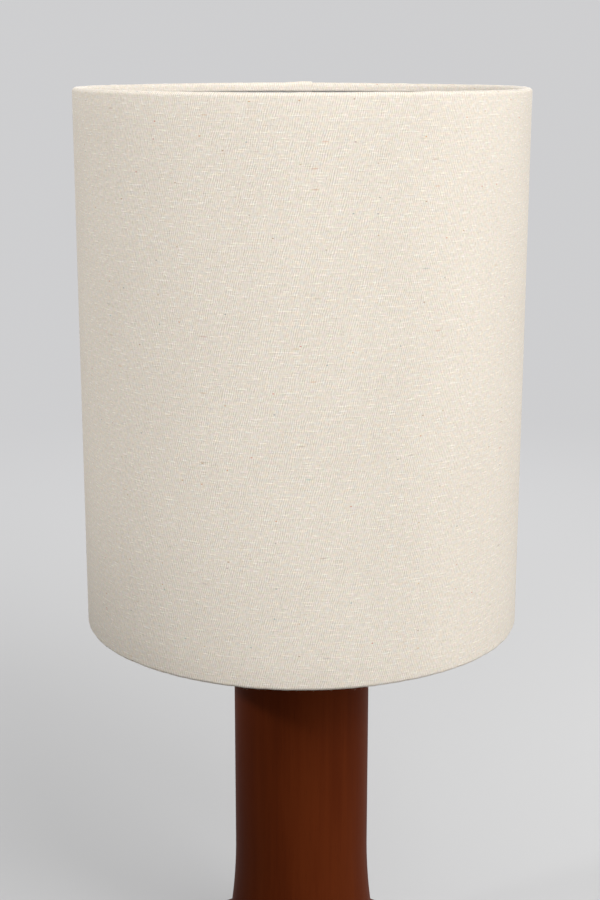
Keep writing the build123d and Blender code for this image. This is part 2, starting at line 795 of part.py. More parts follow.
with BuildPart() as socket_core:
    with Locations((0, 0, core_z)):
        Cylinder(core_radius, core_height, align=centred_low)
    fillet(socket_core.edges().group_by(Axis.Z)[-1], 1)
    wire_room_height = switch_rise - switch_cam_radius - 2
    with Locations((0, 0, core_z)):
        Cylinder(core_radius / 2, wire_room_height, align=centred_low, mode=Mode.SUBTRACT)
    switch_way(switch_shaft_radius + switch_shaft_clearance, core_radius)
    cam_room = switch_cam_length / 2 + switch_cam_clearance
    with BuildSketch(facing_front(cam_room, switch_z)):
        Circle(switch_cam_radius + switch_cam_clearance)
    extrude(amount=2 * cam_room, mode=Mode.SUBTRACT)
    terminal_z = core_z + terminal_rise
    with BuildSketch(Plane.XY.offset(core_z)):
        with GridLocations(2 * core_radius, 0, 2, 1):
            Rectangle(2 * terminal_recess, 3 * terminal_head_radius)
    extrude(amount=terminal_rise + 1.5 * terminal_head_radius, mode=Mode.SUBTRACT)
    with BuildSketch(Plane.YZ.offset(-core_radius)):
        with Locations((0, terminal_z)):
            Circle(terminal_shank_radius + thread_clearance)
    shank_reach = terminal_recess + terminal_shank_length
    extrude(amount=shank_reach, mode=Mode.SUBTRACT)
    with BuildSketch(Plane.YZ.offset(core_radius)):
        with Locations((0, terminal_z)):
            Circle(terminal_shank_radius + thread_clearance)
    extrude(amount=-shank_reach, mode=Mode.SUBTRACT)
socket_core.part.label = "socket_core"
export_step(socket_core.part, "parts/socket_core.step")

with BuildPart() as terminal_screws:
    head_x = core_radius - terminal_recess
    for side in (-1, 1):
        with BuildSketch(Plane.YZ.offset(side * head_x)):
            with Locations((0, terminal_z)):
                Circle(terminal_head_radius)
        extrude(amount=side * terminal_head_thickness)
        with BuildSketch(Plane.YZ.offset(side * head_x)):
            with Locations((0, terminal_z)):
                Circle(terminal_shank_radius)
        extrude(amount=-side * (terminal_shank_length - 1))
        with BuildSketch(Plane.YZ.offset(side * (head_x + terminal_head_thickness))):
            with Locations((0, terminal_z)):
                Rectangle(2 * terminal_head_radius, terminal_head_radius / 4)
        extrude(amount=-side * terminal_head_thickness / 2, mode=Mode.SUBTRACT)
terminal_screws.part.label = "terminal_screws"
export_step(terminal_screws.part, "parts/terminal_screws.step")

with BuildPart() as screw_shell:
    tube(screw_shell_radius, screw_shell_bore, core_top_z, core_top_z + screw_shell_height)
screw_shell.part.label = "screw_shell"
export_step(screw_shell.part, "parts/screw_shell.step")

with BuildPart() as centre_contact:
    with BuildSketch(Plane.XY.offset(core_top_z)):
        SlotOverall(2 * contact_width, contact_width)
    extrude(amount=contact_thickness)
centre_contact.part.label = "centre_contact"
export_step(centre_contact.part, "parts/centre_contact.step")

knob_root_y = shell_radius + shell_bead + knob_gap
knob_end_y = knob_root_y + knob_length
shaft_end_y = knob_root_y + knob_bore_depth - 1
with BuildPart() as switch_shaft:
    with BuildSketch(facing_front(-switch_cam_length / 2, switch_z)):
        Circle(switch_shaft_radius)
    extrude(amount=shaft_end_y - switch_cam_length / 2)
switch_shaft.part.label = "switch_shaft"
export_step(switch_shaft.part, "parts/switch_shaft.step")

with BuildPart() as switch_cam:
    with BuildSketch(facing_front(switch_cam_length / 2, switch_z)):
        Circle(switch_cam_radius)
        with PolarLocations(switch_cam_radius, 4):
            Circle(switch_cam_radius / 4, mode=Mode.SUBTRACT)
    extrude(amount=switch_cam_length)
switch_cam.part.label = "switch_cam"
export_step(switch_cam.part, "parts/switch_cam.step")

with BuildPart() as switch_knob:
    with BuildSketch(facing_front(-knob_root_y, switch_z)):
        Circle(knob_root_radius)
    with BuildSketch(facing_front(-knob_end_y, switch_z)):
        Circle(knob_radius)
    loft()
    fillet(switch_knob.edges().group_by(Axis.Y)[0], 1)
    with BuildSketch(facing_front(-knob_root_y, switch_z)):
        with PolarLocations(knob_radius + 0.6, knob_ribs):
            Circle(1)
    extrude(amount=knob_length, mode=Mode.SUBTRACT)
    with BuildSketch(facing_front(-knob_root_y, switch_z)):
        Circle(switch_shaft_radius + thread_clearance)
    extrude(amount=knob_bore_depth, mode=Mode.SUBTRACT)
switch_knob.part.label = "switch_knob"
export_step(switch_knob.part, "parts/switch_knob.step")

# ---------------------------------------------------------------- bulb

with BuildPart() as bulb_contact:
    with Locations((0, 0, bulb_z)):
        Cylinder(bulb_contact_radius, bulb_contact_height, align=centred_low)
    fillet(bulb_contact.edges().group_by(Axis.Z)[0], bulb_contact_height / 2)
bulb_contact.part.label = "bulb_contact"
export_step(bulb_contact.part, "parts/bulb_contact.step")

with BuildPart() as bulb_insulator:
    insulator_z = bulb_z + bulb_contact_height
    with BuildSketch(Plane.XY.offset(insulator_z)):
        Circle(bulb_contact_radius)
    with BuildSketch(Plane.XY.offset(insulator_z + bulb_insulator_height)):
        Circle(bulb_insulator_radius)
    loft()
bulb_insulator.part.label = "bulb_insulator"
export_step(bulb_insulator.part, "parts/bulb_insulator.step")

with BuildPart() as bulb_base:
    base_taper = bulb_base_radius - bulb_insulator_radius
    with BuildSketch(Plane.XZ):
        with BuildLine():
            Polyline(
                (bulb_insulator_radius - bulb_base_wall, bulb_base_z),
                (bulb_insulator_radius, bulb_base_z),
                (bulb_base_radius, bulb_base_z + base_taper),
                (bulb_base_radius, bulb_base_top_z),
                (bulb_base_radius - bulb_base_wall, bulb_base_top_z),
                (bulb_base_radius - bulb_base_wall, bulb_base_z + base_taper),
                close=True,
            )
        make_face()
    revolve(axis=Axis.Z)
bulb_base.part.label = "bulb_base"
export_step(bulb_base.part, "parts/bulb_base.step")

glass_root_radius = bulb_base_radius - bulb_base_wall - thread_clearance
glass_root_z = bulb_base_top_z - bulb_root_length
neck_start_z = bulb_base_top_z + bulb_neck_radius - glass_root_radius
shoulder_x = bulb_neck_radius + bulb_shoulder_radius
shoulder_reach = bulb_radius + bulb_shoulder_radius
shoulder_z = bulb_centre_z - (shoulder_reach**2 - shoulder_x**2) ** 0.5
shoulder_angle = degrees(acos(shoulder_x / shoulder_reach))


def glass_outline(wall):
    """Bulb's side from its root to its crown, set in by the wall."""
    big, small = bulb_radius - wall, bulb_shoulder_radius + wall
    Polyline(
        (0, glass_root_z),
        (glass_root_radius - wall, glass_root_z),
        (glass_root_radius - wall, bulb_base_top_z),
        (bulb_neck_radius - wall, neck_start_z),
        (bulb_neck_radius - wall, shoulder_z),
    )
    CenterArc((shoulder_x, shoulder_z), small, 180 - shoulder_angle, shoulder_angle)
    CenterArc((0, bulb_centre_z), big, -shoulder_angle, 90 + shoulder_angle)
    Line((0, bulb_centre_z + big), (0, glass_root_z))


with BuildPart() as bulb_glass:
    with BuildSketch(Plane.XZ):
        with BuildLine():
            glass_outline(0)
        make_face()
    revolve(axis=Axis.Z)
    with BuildSketch(Plane.XZ):
        with BuildLine():
            glass_outline(bulb_wall)
        make_face()
    revolve(axis=Axis.Z, mode=Mode.SUBTRACT)
bulb_glass.part.label = "bulb_glass"
export_step(bulb_glass.part, "parts/bulb_glass.step")

with BuildPart() as bulb_stem:
    stem_flare = glass_root_radius - bulb_wall
    with BuildSketch(Plane.XZ):
        with BuildLine():
            Polyline(
                (stem_radius, glass_root_z + stem_flare),
                (stem_radius, glass_root_z + stem_height),
                (0, glass_root_z + stem_height),
                (0, glass_root_z),
                (stem_flare, glass_root_z),
            )
            RadiusArc(
                (stem_flare, glass_root_z), (stem_radius, glass_root_z + stem_flare), stem_flare
            )
        make_face()
    revolve(axis=Axis.Z)
bulb_stem.part.label = "bulb_stem"
export_step(bulb_stem.part, "parts/bulb_stem.step")

with BuildPart() as bulb_filament:
    stem_top_z = glass_root_z + stem_height + filament_wire_radius
    filament_z = glass_root_z + filament_rise
    with BuildLine(Plane.XZ) as filament_path:
        FilletPolyline(
            (stem_radius / 2, stem_top_z),
            (filament_half_span, filament_z),
            (-filament_half_span, filament_z),
            (-stem_radius / 2, stem_top_z),
            radius=2,
        )
    filament_wire = filament_path.wires()[0]
    with BuildSketch(Plane(origin=filament_wire @ 0, z_dir=filament_wire % 0)):
        Circle(filament_wire_radius)
    sweep(path=filament_wire)
bulb_filament.part.label = "bulb_filament"
export_step(bulb_filament.part, "parts/bulb_filament.step")
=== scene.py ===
"""Column table lamp with a linen drum shade: its looks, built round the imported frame.

Lengths are in millimetres until knit() makes them metres. Lights and camera are placed in metres.
"""

import math

import bpy
import numpy as np
from mathutils import Matrix


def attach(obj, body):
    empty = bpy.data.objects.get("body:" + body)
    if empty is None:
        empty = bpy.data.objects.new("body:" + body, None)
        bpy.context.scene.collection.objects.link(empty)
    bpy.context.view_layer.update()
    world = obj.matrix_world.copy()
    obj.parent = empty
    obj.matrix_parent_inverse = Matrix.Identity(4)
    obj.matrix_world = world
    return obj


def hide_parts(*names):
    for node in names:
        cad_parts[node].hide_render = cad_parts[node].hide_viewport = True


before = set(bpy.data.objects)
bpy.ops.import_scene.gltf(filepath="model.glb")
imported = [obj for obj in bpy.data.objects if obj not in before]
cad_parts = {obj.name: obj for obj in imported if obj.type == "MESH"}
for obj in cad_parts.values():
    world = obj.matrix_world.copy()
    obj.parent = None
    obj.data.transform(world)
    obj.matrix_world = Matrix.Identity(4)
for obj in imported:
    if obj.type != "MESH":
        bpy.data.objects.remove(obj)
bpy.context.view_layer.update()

MM = 0.001
TAU = 2 * math.pi


# -------- sizes shared with the CAD, in mm

foot_rim_radius = 114.9665
foot_corner_z = 29.3
cove_radius = 46.0
seam_z = 69.3845
column_radius = 57.0
column_top_z = 429.9845
flare_height = 70.0
flare_radius = 465.0
bore_radius = 38.0
pipe_hole_radius = 5.2
recess_radius = 76.0
recess_roof_z = 30.0
outlet_z = 13.0

neck_z = 431.9845
saddle_z = 445.7845
socket_z = 447.1845
harp_foot_z = 465.9845
harp_leg_x = 35.0
harp_seat_z = 751.9845
bracket_top_z = 749.9845
harp_top_z = 741.7345
hub_top_z = 753.5845
finial_height = 16.0

shade_radius = 178.0
shade_bottom_z = 346.8845
shade_top_z = 777.9845
lining_radius = 176.7
ring_centre_radius = 175.05
ring_wire_radius = 1.6
roll_radius = 2.95
hem_depth = 6.5

switch_z = 474.9455
shell_z = 465.9845
bulb_z = 483.1455
bulb_top_z = 591.1455
bulb_radius = 30.0
bulb_neck_radius = 14.0
bulb_shoulder_radius = 40.0
screw_pitch = 3.63  # of the bulb's cap and of the shell that takes it
stud_pitch = 0.94

top_ring_z = shade_top_z - roll_radius
bottom_ring_z = shade_bottom_z + roll_radius
arm_z = hub_top_z + 1.6
arm_top_z = top_ring_z - ring_wire_radius


# -------- shapes


def unit(vectors):
    """Vectors of length one, along the last axis."""
    return vectors / np.maximum(np.linalg.norm(vectors, axis=-1, keepdims=True), 1e-12)


def ease(value, low, high):
    """0 below low, 1 above high, and a smooth S between them."""
    t = np.clip((value - low) / (high - low), 0, 1)
    return t * t * (3 - 2 * t)


def rounded(corners, radii, steps=6):
    """Polyline whose inner corners are arcs.

    Each arc's centre lies on the corner's bisector, radius / sin(half angle) from the corner.
    """
    p = np.asarray(corners, float)
    radii = np.maximum(np.broadcast_to(np.asarray(radii, float), (len(p) - 2,)), 1e-4)[:, None]
    back, on = unit(p[:-2] - p[1:-1]), unit(p[2:] - p[1:-1])
    half = np.arccos(np.clip((back * on).sum(-1, keepdims=True), -1, 1)) / 2
    centre = p[1:-1] + unit(back + on) * radii / np.sin(half)
    start = p[1:-1] + back * radii / np.tan(half) - centre
    end = p[1:-1] + on * radii / np.tan(half) - centre
    sweep = (math.pi - 2 * half)[:, None]
    s = np.linspace(0, 1, steps + 1)[None, :, None]
    arcs = np.sin((1 - s) * sweep) * start[:, None] + np.sin(s * sweep) * end[:, None]
    arcs = arcs / np.sin(sweep) + centre[:, None]
    return np.concatenate([p[:1], arcs.reshape(-1, p.shape[1]), p[-1:]])


def rounded_loop(corners, radii, steps=6):
    """Closed outline with rounded corners, its first point repeated at the end."""
    p = np.asarray(corners, float)
    loop = rounded(np.vstack([p[-1:], p, p[:1]]), radii, steps)[1:-1]
    return np.vstack([loop, loop[:1]])


def arc(centre, radius, start, end, steps=24):
    """Points of a circle from one angle to another, in degrees."""
    a = np.radians(np.linspace(start, end, steps + 1))[:, None]
    return np.asarray(centre, float) + radius * np.hstack([np.cos(a), np.sin(a)])


def once_round(sides):
    """Angles of a full turn in so many steps."""
    return np.linspace(0, TAU, sides + 1)


def lathe(profile, sides=128, ripple=0.0):
    """Profile of (radius, height) turned round Z: x = r cos a, y = r sin a. Ripple adds to r."""
    a = once_round(sides)
    radius = profile[:, :1] + ripple + 0 * a
    height = profile[:, 1:] + 0 * a
    grid = np.stack([radius * np.cos(a), radius * np.sin(a), height], -1)
    grid[:, -1] = grid[:, 0]
    return grid


def pin(radius, low, high, sides=48):
    """Closed cylinder round the Z axis."""
    return lathe(np.array([(0, low), (radius, low), (radius, high), (0, high)], float), sides)


def screw_turns(profile, pitch, sides):
    """Turns of a screw line over a lathed grid: height / pitch - angle / full turn."""
    return profile[:, 1:] / pitch - once_round(sides) / TAU


def lobes(count, sides):
    """Ridges round a lathed grid: (1 + cos(count x angle)) / 2."""
    return 0.5 + 0.5 * np.cos(count * once_round(sides))


def bell(value, middle, width):
    """e to the power of minus ((value - middle) / width) squared."""
    return np.exp(-(((value - middle) / width) ** 2))


def sweep(path, section, across, size=1.0):
    """Section carried along a path that lies square to across, with its ends closed.

    Point = path + size x (first of the section x across + second x the path's normal).
    """
    path, across = np.asarray(path, float), np.asarray(across, float)
    normal = unit(np.cross(unit(np.gradient(path, axis=0)), across))
    section = np.broadcast_to(section, (len(path), *np.shape(section)[-2:]))
    size = np.broadcast_to(np.asarray(size, float), (len(path),))[:, None, None]
    grid = path[:, None] + size * (section[..., :1] * across + section[..., 1:] * normal[:, None])
    ends = [np.broadcast_to(p, grid[:1].shape) for p in (path[0], path[-1])]
    return np.concatenate([ends[0], grid, ends[1]])


def circle(radius, sides=20):
    """Section of a round wire."""
    loop = arc((0, 0), radius, 0, 360, sides)
    loop[-1] = loop[0]
    return loop


def evenly(path, step):
    """The same path with points about step apart."""
    along = np.concatenate([[0], np.cumsum(np.linalg.norm(np.diff(path, axis=0), axis=1))])
    at = np.linspace(0, along[-1], max(2, round(along[-1] / step) + 1))
    return np.stack([np.interp(at, along, path[:, k]) for k in range(path.shape[1])], 1)


def slab(half_x, half_y, corner, low, high, edge, steps=5):
    """Block with rounded upright corners and rounded rims: its outline is drawn in by the rim's arc."""
    turn = np.radians(np.linspace(90, 0, steps + 1))
    inset, rise = edge * (1 - np.cos(turn)), edge * (1 - np.sin(turn))
    inset = np.concatenate([inset, inset[::-1]])[:, None]
    height = np.concatenate([low + rise, high - rise[::-1]])[:, None]
    a = np.radians(np.linspace(0, 360, 33))[:-1] + np.radians(1e-3)
    centre_x = (half_x - corner) * np.sign(np.cos(a))
    centre_y = (half_y - corner) * np.sign(np.sin(a))
    x = centre_x + (corner - inset) * np.cos(a)
    y = centre_y + (corner - inset) * np.sin(a)
    grid = np.stack([x, y, height + 0 * a], -1)
    grid = np.concatenate([grid, grid[:, :1]], 1)
    ends = [np.broadcast_to(np.array([0, 0, z]), grid[:1].shape) for z in (low, high)]
    return np.concatenate([ends[0], grid, ends[1]])


def moved(grid, x=0.0, y=0.0, z=0.0):
    """The grid shifted."""
    return grid + np.array([x, y, z])


def lying(grid):
    """The grid laid down, so that its Z axis points to the front."""
    return np.stack([grid[..., 0], -grid[..., 2], grid[..., 1]], -1)


def turned_by(grid, degrees):
    """The grid turned round the Z axis."""
    c, s = math.cos(math.radians(degrees)), math.sin(math.radians(degrees))
    return grid @ np.array([[c, s, 0], [-s, c, 0], [0, 0, 1]])


def knit(grids):
    """Joins grids into one skin.

    Points closer than 0.1 micrometre become one, and quads that lose a corner become triangles.
    """
    points = np.concatenate([g.reshape(-1, 3) for g in grids]) * MM
    quads, base = [], 0
    for g in grids:
        index = base + np.arange(g.shape[0] * g.shape[1]).reshape(g.shape[:2])
        corners = [index[:-1, :-1], index[:-1, 1:], index[1:, 1:], index[1:, :-1]]
        quads.append(np.stack(corners, -1).reshape(-1, 4))
        base += index.size
    quads = np.concatenate(quads)
    cells = np.rint(points * 1e7).astype(np.int64)
    _, first, merged = np.unique(cells, axis=0, return_index=True, return_inverse=True)
    corner = merged.reshape(-1)[quads]
    same = corner == np.roll(corner, -1, axis=1)
    thin = same.sum(1) == 1
    order = (same[thin].argmax(1)[:, None] + np.array([1, 2, 3])) % 4
    whole = (same.sum(1) == 0) & (corner[:, 0] != corner[:, 2]) & (corner[:, 1] != corner[:, 3])
    pick = np.take_along_axis
    faces = [corner[whole], pick(corner[thin], order, 1)]
    sources = [quads[whole], pick(quads[thin], order, 1)]
    return points[first], faces, sources


def volume(places, faces):
    """Signed volume inside a closed skin, which is positive where its faces point outwards."""
    fans = [faces[0][:, [0, 1, 2]], faces[0][:, [0, 2, 3]], faces[1]]
    a, b, c = (places[np.concatenate(fans)[:, k]] for k in range(3))
    return (a * np.cross(b, c)).sum() / 6


def closed_mesh(name, grids, uv=None):
    """Mesh of the grids joined, its faces outwards, with the cloth's own coordinates where given."""
    places, faces, sources = knit(grids)
    if volume(places, faces) < 0:
        faces, sources = [f[:, ::-1] for f in faces], [s[:, ::-1] for s in sources]
    mesh = bpy.data.meshes.new(name)
    mesh.from_pydata(places.tolist(), [], faces[0].tolist() + faces[1].tolist())
    if uv is not None:
        flat = np.concatenate([u.reshape(-1, 2) for u in uv])
        corners = np.concatenate([s.reshape(-1) for s in sources])
        mesh.uv_layers.new(name="cloth").data.foreach_set("uv", flat[corners].ravel())
    return mesh


def cut_away(piece, drills):
    """Takes the drills' closed grids out of a piece, for good."""
    tool = bpy.data.objects.new("drill", closed_mesh("drill", drills))
    bpy.context.scene.collection.objects.link(tool)
    cut = piece.modifiers.new("cut", "BOOLEAN")
    cut.operation, cut.solver, cut.object = "DIFFERENCE", "EXACT", tool
    depsgraph = bpy.context.evaluated_depsgraph_get()
    mesh = bpy.data.meshes.new_from_object(
        piece.evaluated_get(depsgraph), preserve_all_data_layers=True, depsgraph=depsgraph
    )
    piece.modifiers.clear()
    uncut, piece.data = piece.data, mesh
    mesh.name = piece.name
    for leftover in (uncut, tool.data):
        bpy.data.meshes.remove(leftover)


def skin(name, grids, body, material, stands_for=(), uv=None, crease=35, drills=()):
    """Makes a piece of the grids, smooth up to the crease, and rides it on a body for CAD nodes."""
    piece = bpy.data.objects.new(name, closed_mesh(name, grids, uv))
    bpy.context.scene.collection.objects.link(piece)
    if drills:
        cut_away(piece, drills)
    piece.data.polygons.foreach_set("use_smooth", np.ones(len(piece.data.polygons), bool))
    piece.data.set_sharp_from_angle(angle=math.radians(crease))
    piece.data.materials.clear()
    piece.data.materials.append(material)
    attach(piece, body)
    if stands_for:
        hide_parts(*stands_for)
    return piece


# -------- finishes


class Nodes:
    """An emptied node tree, with a short call for each kind of node that is used here."""

    def __init__(self, owner):
        """Empties the tree of a material or world."""
        owner.use_nodes = True
        self.tree = owner.node_tree
        self.tree.nodes.clear()

    def plug(self, socket, value):
        """Links a socket to another, or gives it a plain value."""
        if isinstance(value, bpy.types.NodeSocket):
            self.tree.links.new(value, socket)
        else:
            socket.default_value = value

    def node(self, kind, inputs, **settings):
        """A new node with its sockets and settings, as its outputs."""
        made = self.tree.nodes.new(kind)
        for name, value in settings.items():
            setattr(made, name, value)
        for key, value in inputs.items():
            self.plug(made.inputs[key], value)
        return made.outputs

    def sum(self, kind, a, b=0.0, c=0.0):
        """Result of a Math node."""
        return self.node("ShaderNodeMath", {0: a, 1: b, 2: c}, operation=kind)[0]

    def times(self, a, b):
        """a x b."""
        return self.sum("MULTIPLY", a, b)

    def blend(self, a, weight, b):
        """a + weight x b."""
        return self.sum("MULTIPLY_ADD", b, weight, a)

    def wave(self, turns):
        """Sine of a phase that is counted in whole turns."""
        return self.sum("SINE", self.times(turns, TAU))

    def place(self, scale, turn=(0, 0, 0), offset=(0, 0, 0), cloth=False):
        """Object coordinates, or the cloth's own, in millimetres times the scale."""
        coordinates = self.node("ShaderNodeTexCoord", {})["Object"]
        if cloth:
            coordinates = self.node("ShaderNodeUVMap", {}, uv_map="cloth")[0]
        inputs = {0: coordinates, 1: offset, 2: turn, 3: [1000 * s for s in scale]}
        return self.node("ShaderNodeMapping", inputs, vector_type="POINT")[0]

    def noise(self, place, detail=2.0, rough=0.5, bend=0.0):
        """Soft noise from 0 to 1."""
        inputs = {"Vector": place, "Scale": 1.0, "Detail": detail}
        return self.node("ShaderNodeTexNoise", {**inputs, "Roughness": rough, "Distortion": bend})[0]

    def between(self, value, low, high, start=0.0, end=1.0):
        """Value from low to high carried to start to end with a smooth S."""
        inputs = {"Value": value, "From Min": low, "From Max": high, "To Min": start, "To Max": end}
        return self.node("ShaderNodeMapRange", inputs, interpolation_type="SMOOTHSTEP")[0]

    def mix(self, factor, a, b):
        """Colour a where the factor is 0 and b where it is 1."""
        a, b = ((*colour, 1) if isinstance(colour, tuple) else colour for colour in (a, b))
        return self.node("ShaderNodeMix", {0: factor, 6: a, 7: b}, data_type="RGBA")[2]

    def ramp(self, factor, *stops):
        """Colour that follows the factor through (place, colour) stops."""
        made = self.tree.nodes.new("ShaderNodeValToRGB")
        self.plug(made.inputs[0], factor)
        band = made.color_ramp
        while len(band.elements) < len(stops):
            band.elements.new(0.5)
        for element, (where, colour) in zip(band.elements, stops):
            element.position, element.color = where, (*colour, 1)
        return made.outputs[0]

    def bump(self, height, depth, strength):
        """Relief of that depth in millimetres."""
        inputs = {"Height": height, "Distance": depth * MM, "Strength": strength}
        return self.node("ShaderNodeBump", inputs)[0]


class Finish(Nodes):
    """A material on one Principled shader."""

    def __init__(self, name, **sockets):
        """Makes the material, with plain values for the shader's sockets."""
        self.material = bpy.data.materials.new(name)
        super().__init__(self.material)
        self.shader = self.tree.nodes.new("ShaderNodeBsdfPrincipled")
        self.node("ShaderNodeOutputMaterial", {"Surface": self.shader.outputs[0]})
        for socket, value in sockets.items():
            self.set(socket.replace("_", " "), value)

    def set(self, name, value):
        """Sets a socket of the shader, found by its name in any case."""
        found = [s for s in self.shader.inputs if s.name.lower() == name.lower()]
        self.plug(found[0], value)


def linen():
    """Oatmeal linen: slanting ribs of upright threads, level slubs in short stacks, coloured neps."""
    sheen = {"Sheen_Weight": 0.12, "Sheen_Roughness": 0.5}
    f = Finish("oatmeal linen", Roughness=0.82, Specular_IOR_Level=0.2, **sheen)

    def woven(across, up, offset=(0, 0), lean=0, **how):
        """Noise on the cloth: cells per millimetre across and up, leaning by so many degrees."""
        where = f.place((across, up, 1), (0, 0, math.radians(lean)), (*offset, 0), cloth=True)
        return f.noise(where, **how)

    split = f.node("ShaderNodeSeparateXYZ", {0: f.place((1, 1, 1), cloth=True)})
    across, up = split[0], split[1]
    drift = woven(0.11, 0.07)
    turns = f.blend(f.blend(f.times(across, 0.62), -0.150, up), 1.5, drift)
    patch = f.between(woven(0.14, 0.1, (7, 3), detail=1.0), 0.36, 0.62)
    rib = f.times(f.wave(turns), f.blend(0.35, 0.65, patch))
    dash = woven(1.1, 0.34, lean=-10, rough=0.6)
    slub = f.between(woven(0.13, 0.62, (31, 5), rough=0.45), 0.55, 0.66)
    weft = f.times(f.wave(f.blend(f.times(up, 0.515), 0.9, drift)), slub)
    thread = woven(0.10, 1.9, (3, 11), rough=0.6)
    warp_tone = woven(1.3, 0.03, (13, 1))
    cloudy = woven(0.018, 0.014, detail=3.0)
    tone = f.blend(1.0, 0.145, rib)
    for weight, field in ((0.50, dash), (0.32, thread), (0.15, warp_tone), (0.07, cloudy)):
        tone = f.blend(tone, weight, f.sum("SUBTRACT", field, 0.5))
    tone = f.blend(f.blend(tone, 0.135, weft), 0.045, slub)
    pinks, yellows = (f.sum("SUBTRACT", woven(0.27, 0.38, shift), 0.5) for shift in ((51, 17), (5, 71)))
    # duller threads are tinted a little warmer, a painted warm bounce of the shade between threads, so
    # that warmth doesn't follow brightness when lit
    red = f.blend(f.blend(1.15, -0.15, tone), 0.20, pinks)
    blue = f.blend(f.blend(0.93, 0.07, tone), -0.27, yellows)
    tint = f.node("ShaderNodeCombineXYZ", {0: f.times(tone, red), 1: tone, 2: f.times(tone, blue)})[0]
    cloth = f.node("ShaderNodeVectorMath", {0: (0.78, 0.709, 0.613), 1: tint}, operation="MULTIPLY")[0]
    # neps: cells per millimetre across and up, reach within a cell, share of cells with one, strength
    for cells_across, cells_up, reach, share, strength in (
        (0.055, 0.085, 0.058, 0.14, 0.75),
        (0.120, 0.170, 0.060, 0.05, 0.60),
        (0.012, 0.060, 0.046, 0.30, 0.35),
    ):
        where = f.place((cells_across, cells_up, 1), offset=(100 * share, 7, 0), cloth=True)
        cell = f.node("ShaderNodeTexVoronoi", {"Vector": where, "Scale": 1.0}, voronoi_dimensions="2D")
        pick = f.node("ShaderNodeSeparateColor", {0: cell["Color"]})
        colour = f.ramp(
            pick[1],
            (0.0, (0.58, 0.13, 0.09)),
            (0.2, (0.66, 0.32, 0.10)),
            (0.42, (0.36, 0.22, 0.12)),
            (0.62, (0.72, 0.50, 0.24)),
            (0.80, (0.28, 0.28, 0.28)),
            (0.92, (0.26, 0.48, 0.46)),
            (1.0, (0.62, 0.16, 0.15)),
        )
        near = f.between(cell["Distance"], 0.3 * reach, reach, 1.0, 0.0)
        seen = f.times(near, f.sum("LESS_THAN", pick[0], share))
        cloth = f.mix(f.times(seen, strength), cloth, colour)
    f.set("base color", cloth)
    relief = f.blend(f.times(rib, 0.5), 1.4, dash)
    relief = f.blend(f.blend(relief, 0.9, thread), 0.8, slub)
    f.set("normal", f.bump(relief, 0.10, 0.55))
    return f.material


def lining():
    """Pale styrene laminate: faint fibre flecks and a soft sheen."""
    f = Finish("pale lining", Roughness=0.5, Specular_IOR_Level=0.35)
    fleck = f.noise(f.place((0.5, 0.5, 0.16)), detail=3.0, rough=0.6)
    cloud = f.noise(f.place((0.012, 0.012, 0.012)), detail=2.0)
    tone = f.blend(f.blend(0.93, 0.10, fleck), 0.06, cloud)
    f.set("base color", f.mix(tone, (0.26, 0.27, 0.29), (0.66, 0.67, 0.69)))
    f.set("roughness", f.blend(0.42, 0.16, fleck))
    f.set("normal", f.bump(fleck, 0.03, 0.3))
    return f.material


def stained_wood():
    """Red-brown stained hardwood under satin lacquer: upright growth bands, fine pores, uneven stain."""
    f = Finish("stained wood", Specular_IOR_Level=0.03)
    sway = f.noise(f.place((0.016, 0.016, 0.004)), detail=2.0)
    bands = f.noise(f.place((0.07, 0.07, 0.0030)), detail=2.0, rough=0.5, bend=0.6)
    fine = f.noise(f.place((0.45, 0.45, 0.012)), detail=3.0, rough=0.6)
    pores = f.noise(f.place((1.6, 1.6, 0.05)), detail=2.0, rough=0.6)
    pore = f.between(pores, 0.60, 0.72)
    tone = f.blend(f.blend(f.times(bands, 0.42), 0.18, fine), 0.40, sway)
    wood = f.ramp(
        tone,
        (0.30, (0.073, 0.0122, 0.0030)),
        (0.46, (0.094, 0.0165, 0.0034)),
        (0.56, (0.105, 0.0196, 0.0042)),
        (0.70, (0.118, 0.0215, 0.0036)),
    )
    wood = f.mix(f.times(pore, 0.25), wood, (0.036, 0.0060, 0.0012))
    f.set("base color", wood)
    f.set("roughness", f.blend(f.blend(0.45, 0.12, fine), 0.10, pore))
    relief = f.blend(f.times(fine, 0.4), -1.0, pore)
    f.set("normal", f.bump(relief, 0.05, 0.35))
    return f.material


def brass():
    """Lacquered brass: drawn streaks, cloudy toning and darker spots of tarnish."""
    f = Finish("lacquered brass", Metallic=1.0, Coat_Weight=0.15, Coat_Roughness=0.2)
    cloud = f.noise(f.place((0.09, 0.09, 0.09)), detail=4.0, rough=0.6)
    fine = f.noise(f.place((2.2, 2.2, 0.5)), detail=3.0, rough=0.65)
    spot = f.between(f.noise(f.place((0.5, 0.5, 0.5)), detail=3.0), 0.63, 0.74)
    metal = f.ramp(
        cloud,
        (0.3, (0.50, 0.33, 0.13)),
        (0.5, (0.66, 0.47, 0.20)),
        (0.72, (0.76, 0.57, 0.27)),
    )
    f.set("base color", f.mix(f.times(spot, 0.5), metal, (0.27, 0.16, 0.06)))
    f.set("roughness", f.blend(f.blend(0.20, 0.16, fine), 0.14, spot))
    f.set("normal", f.bump(fine, 0.008, 0.15))
    return f.material


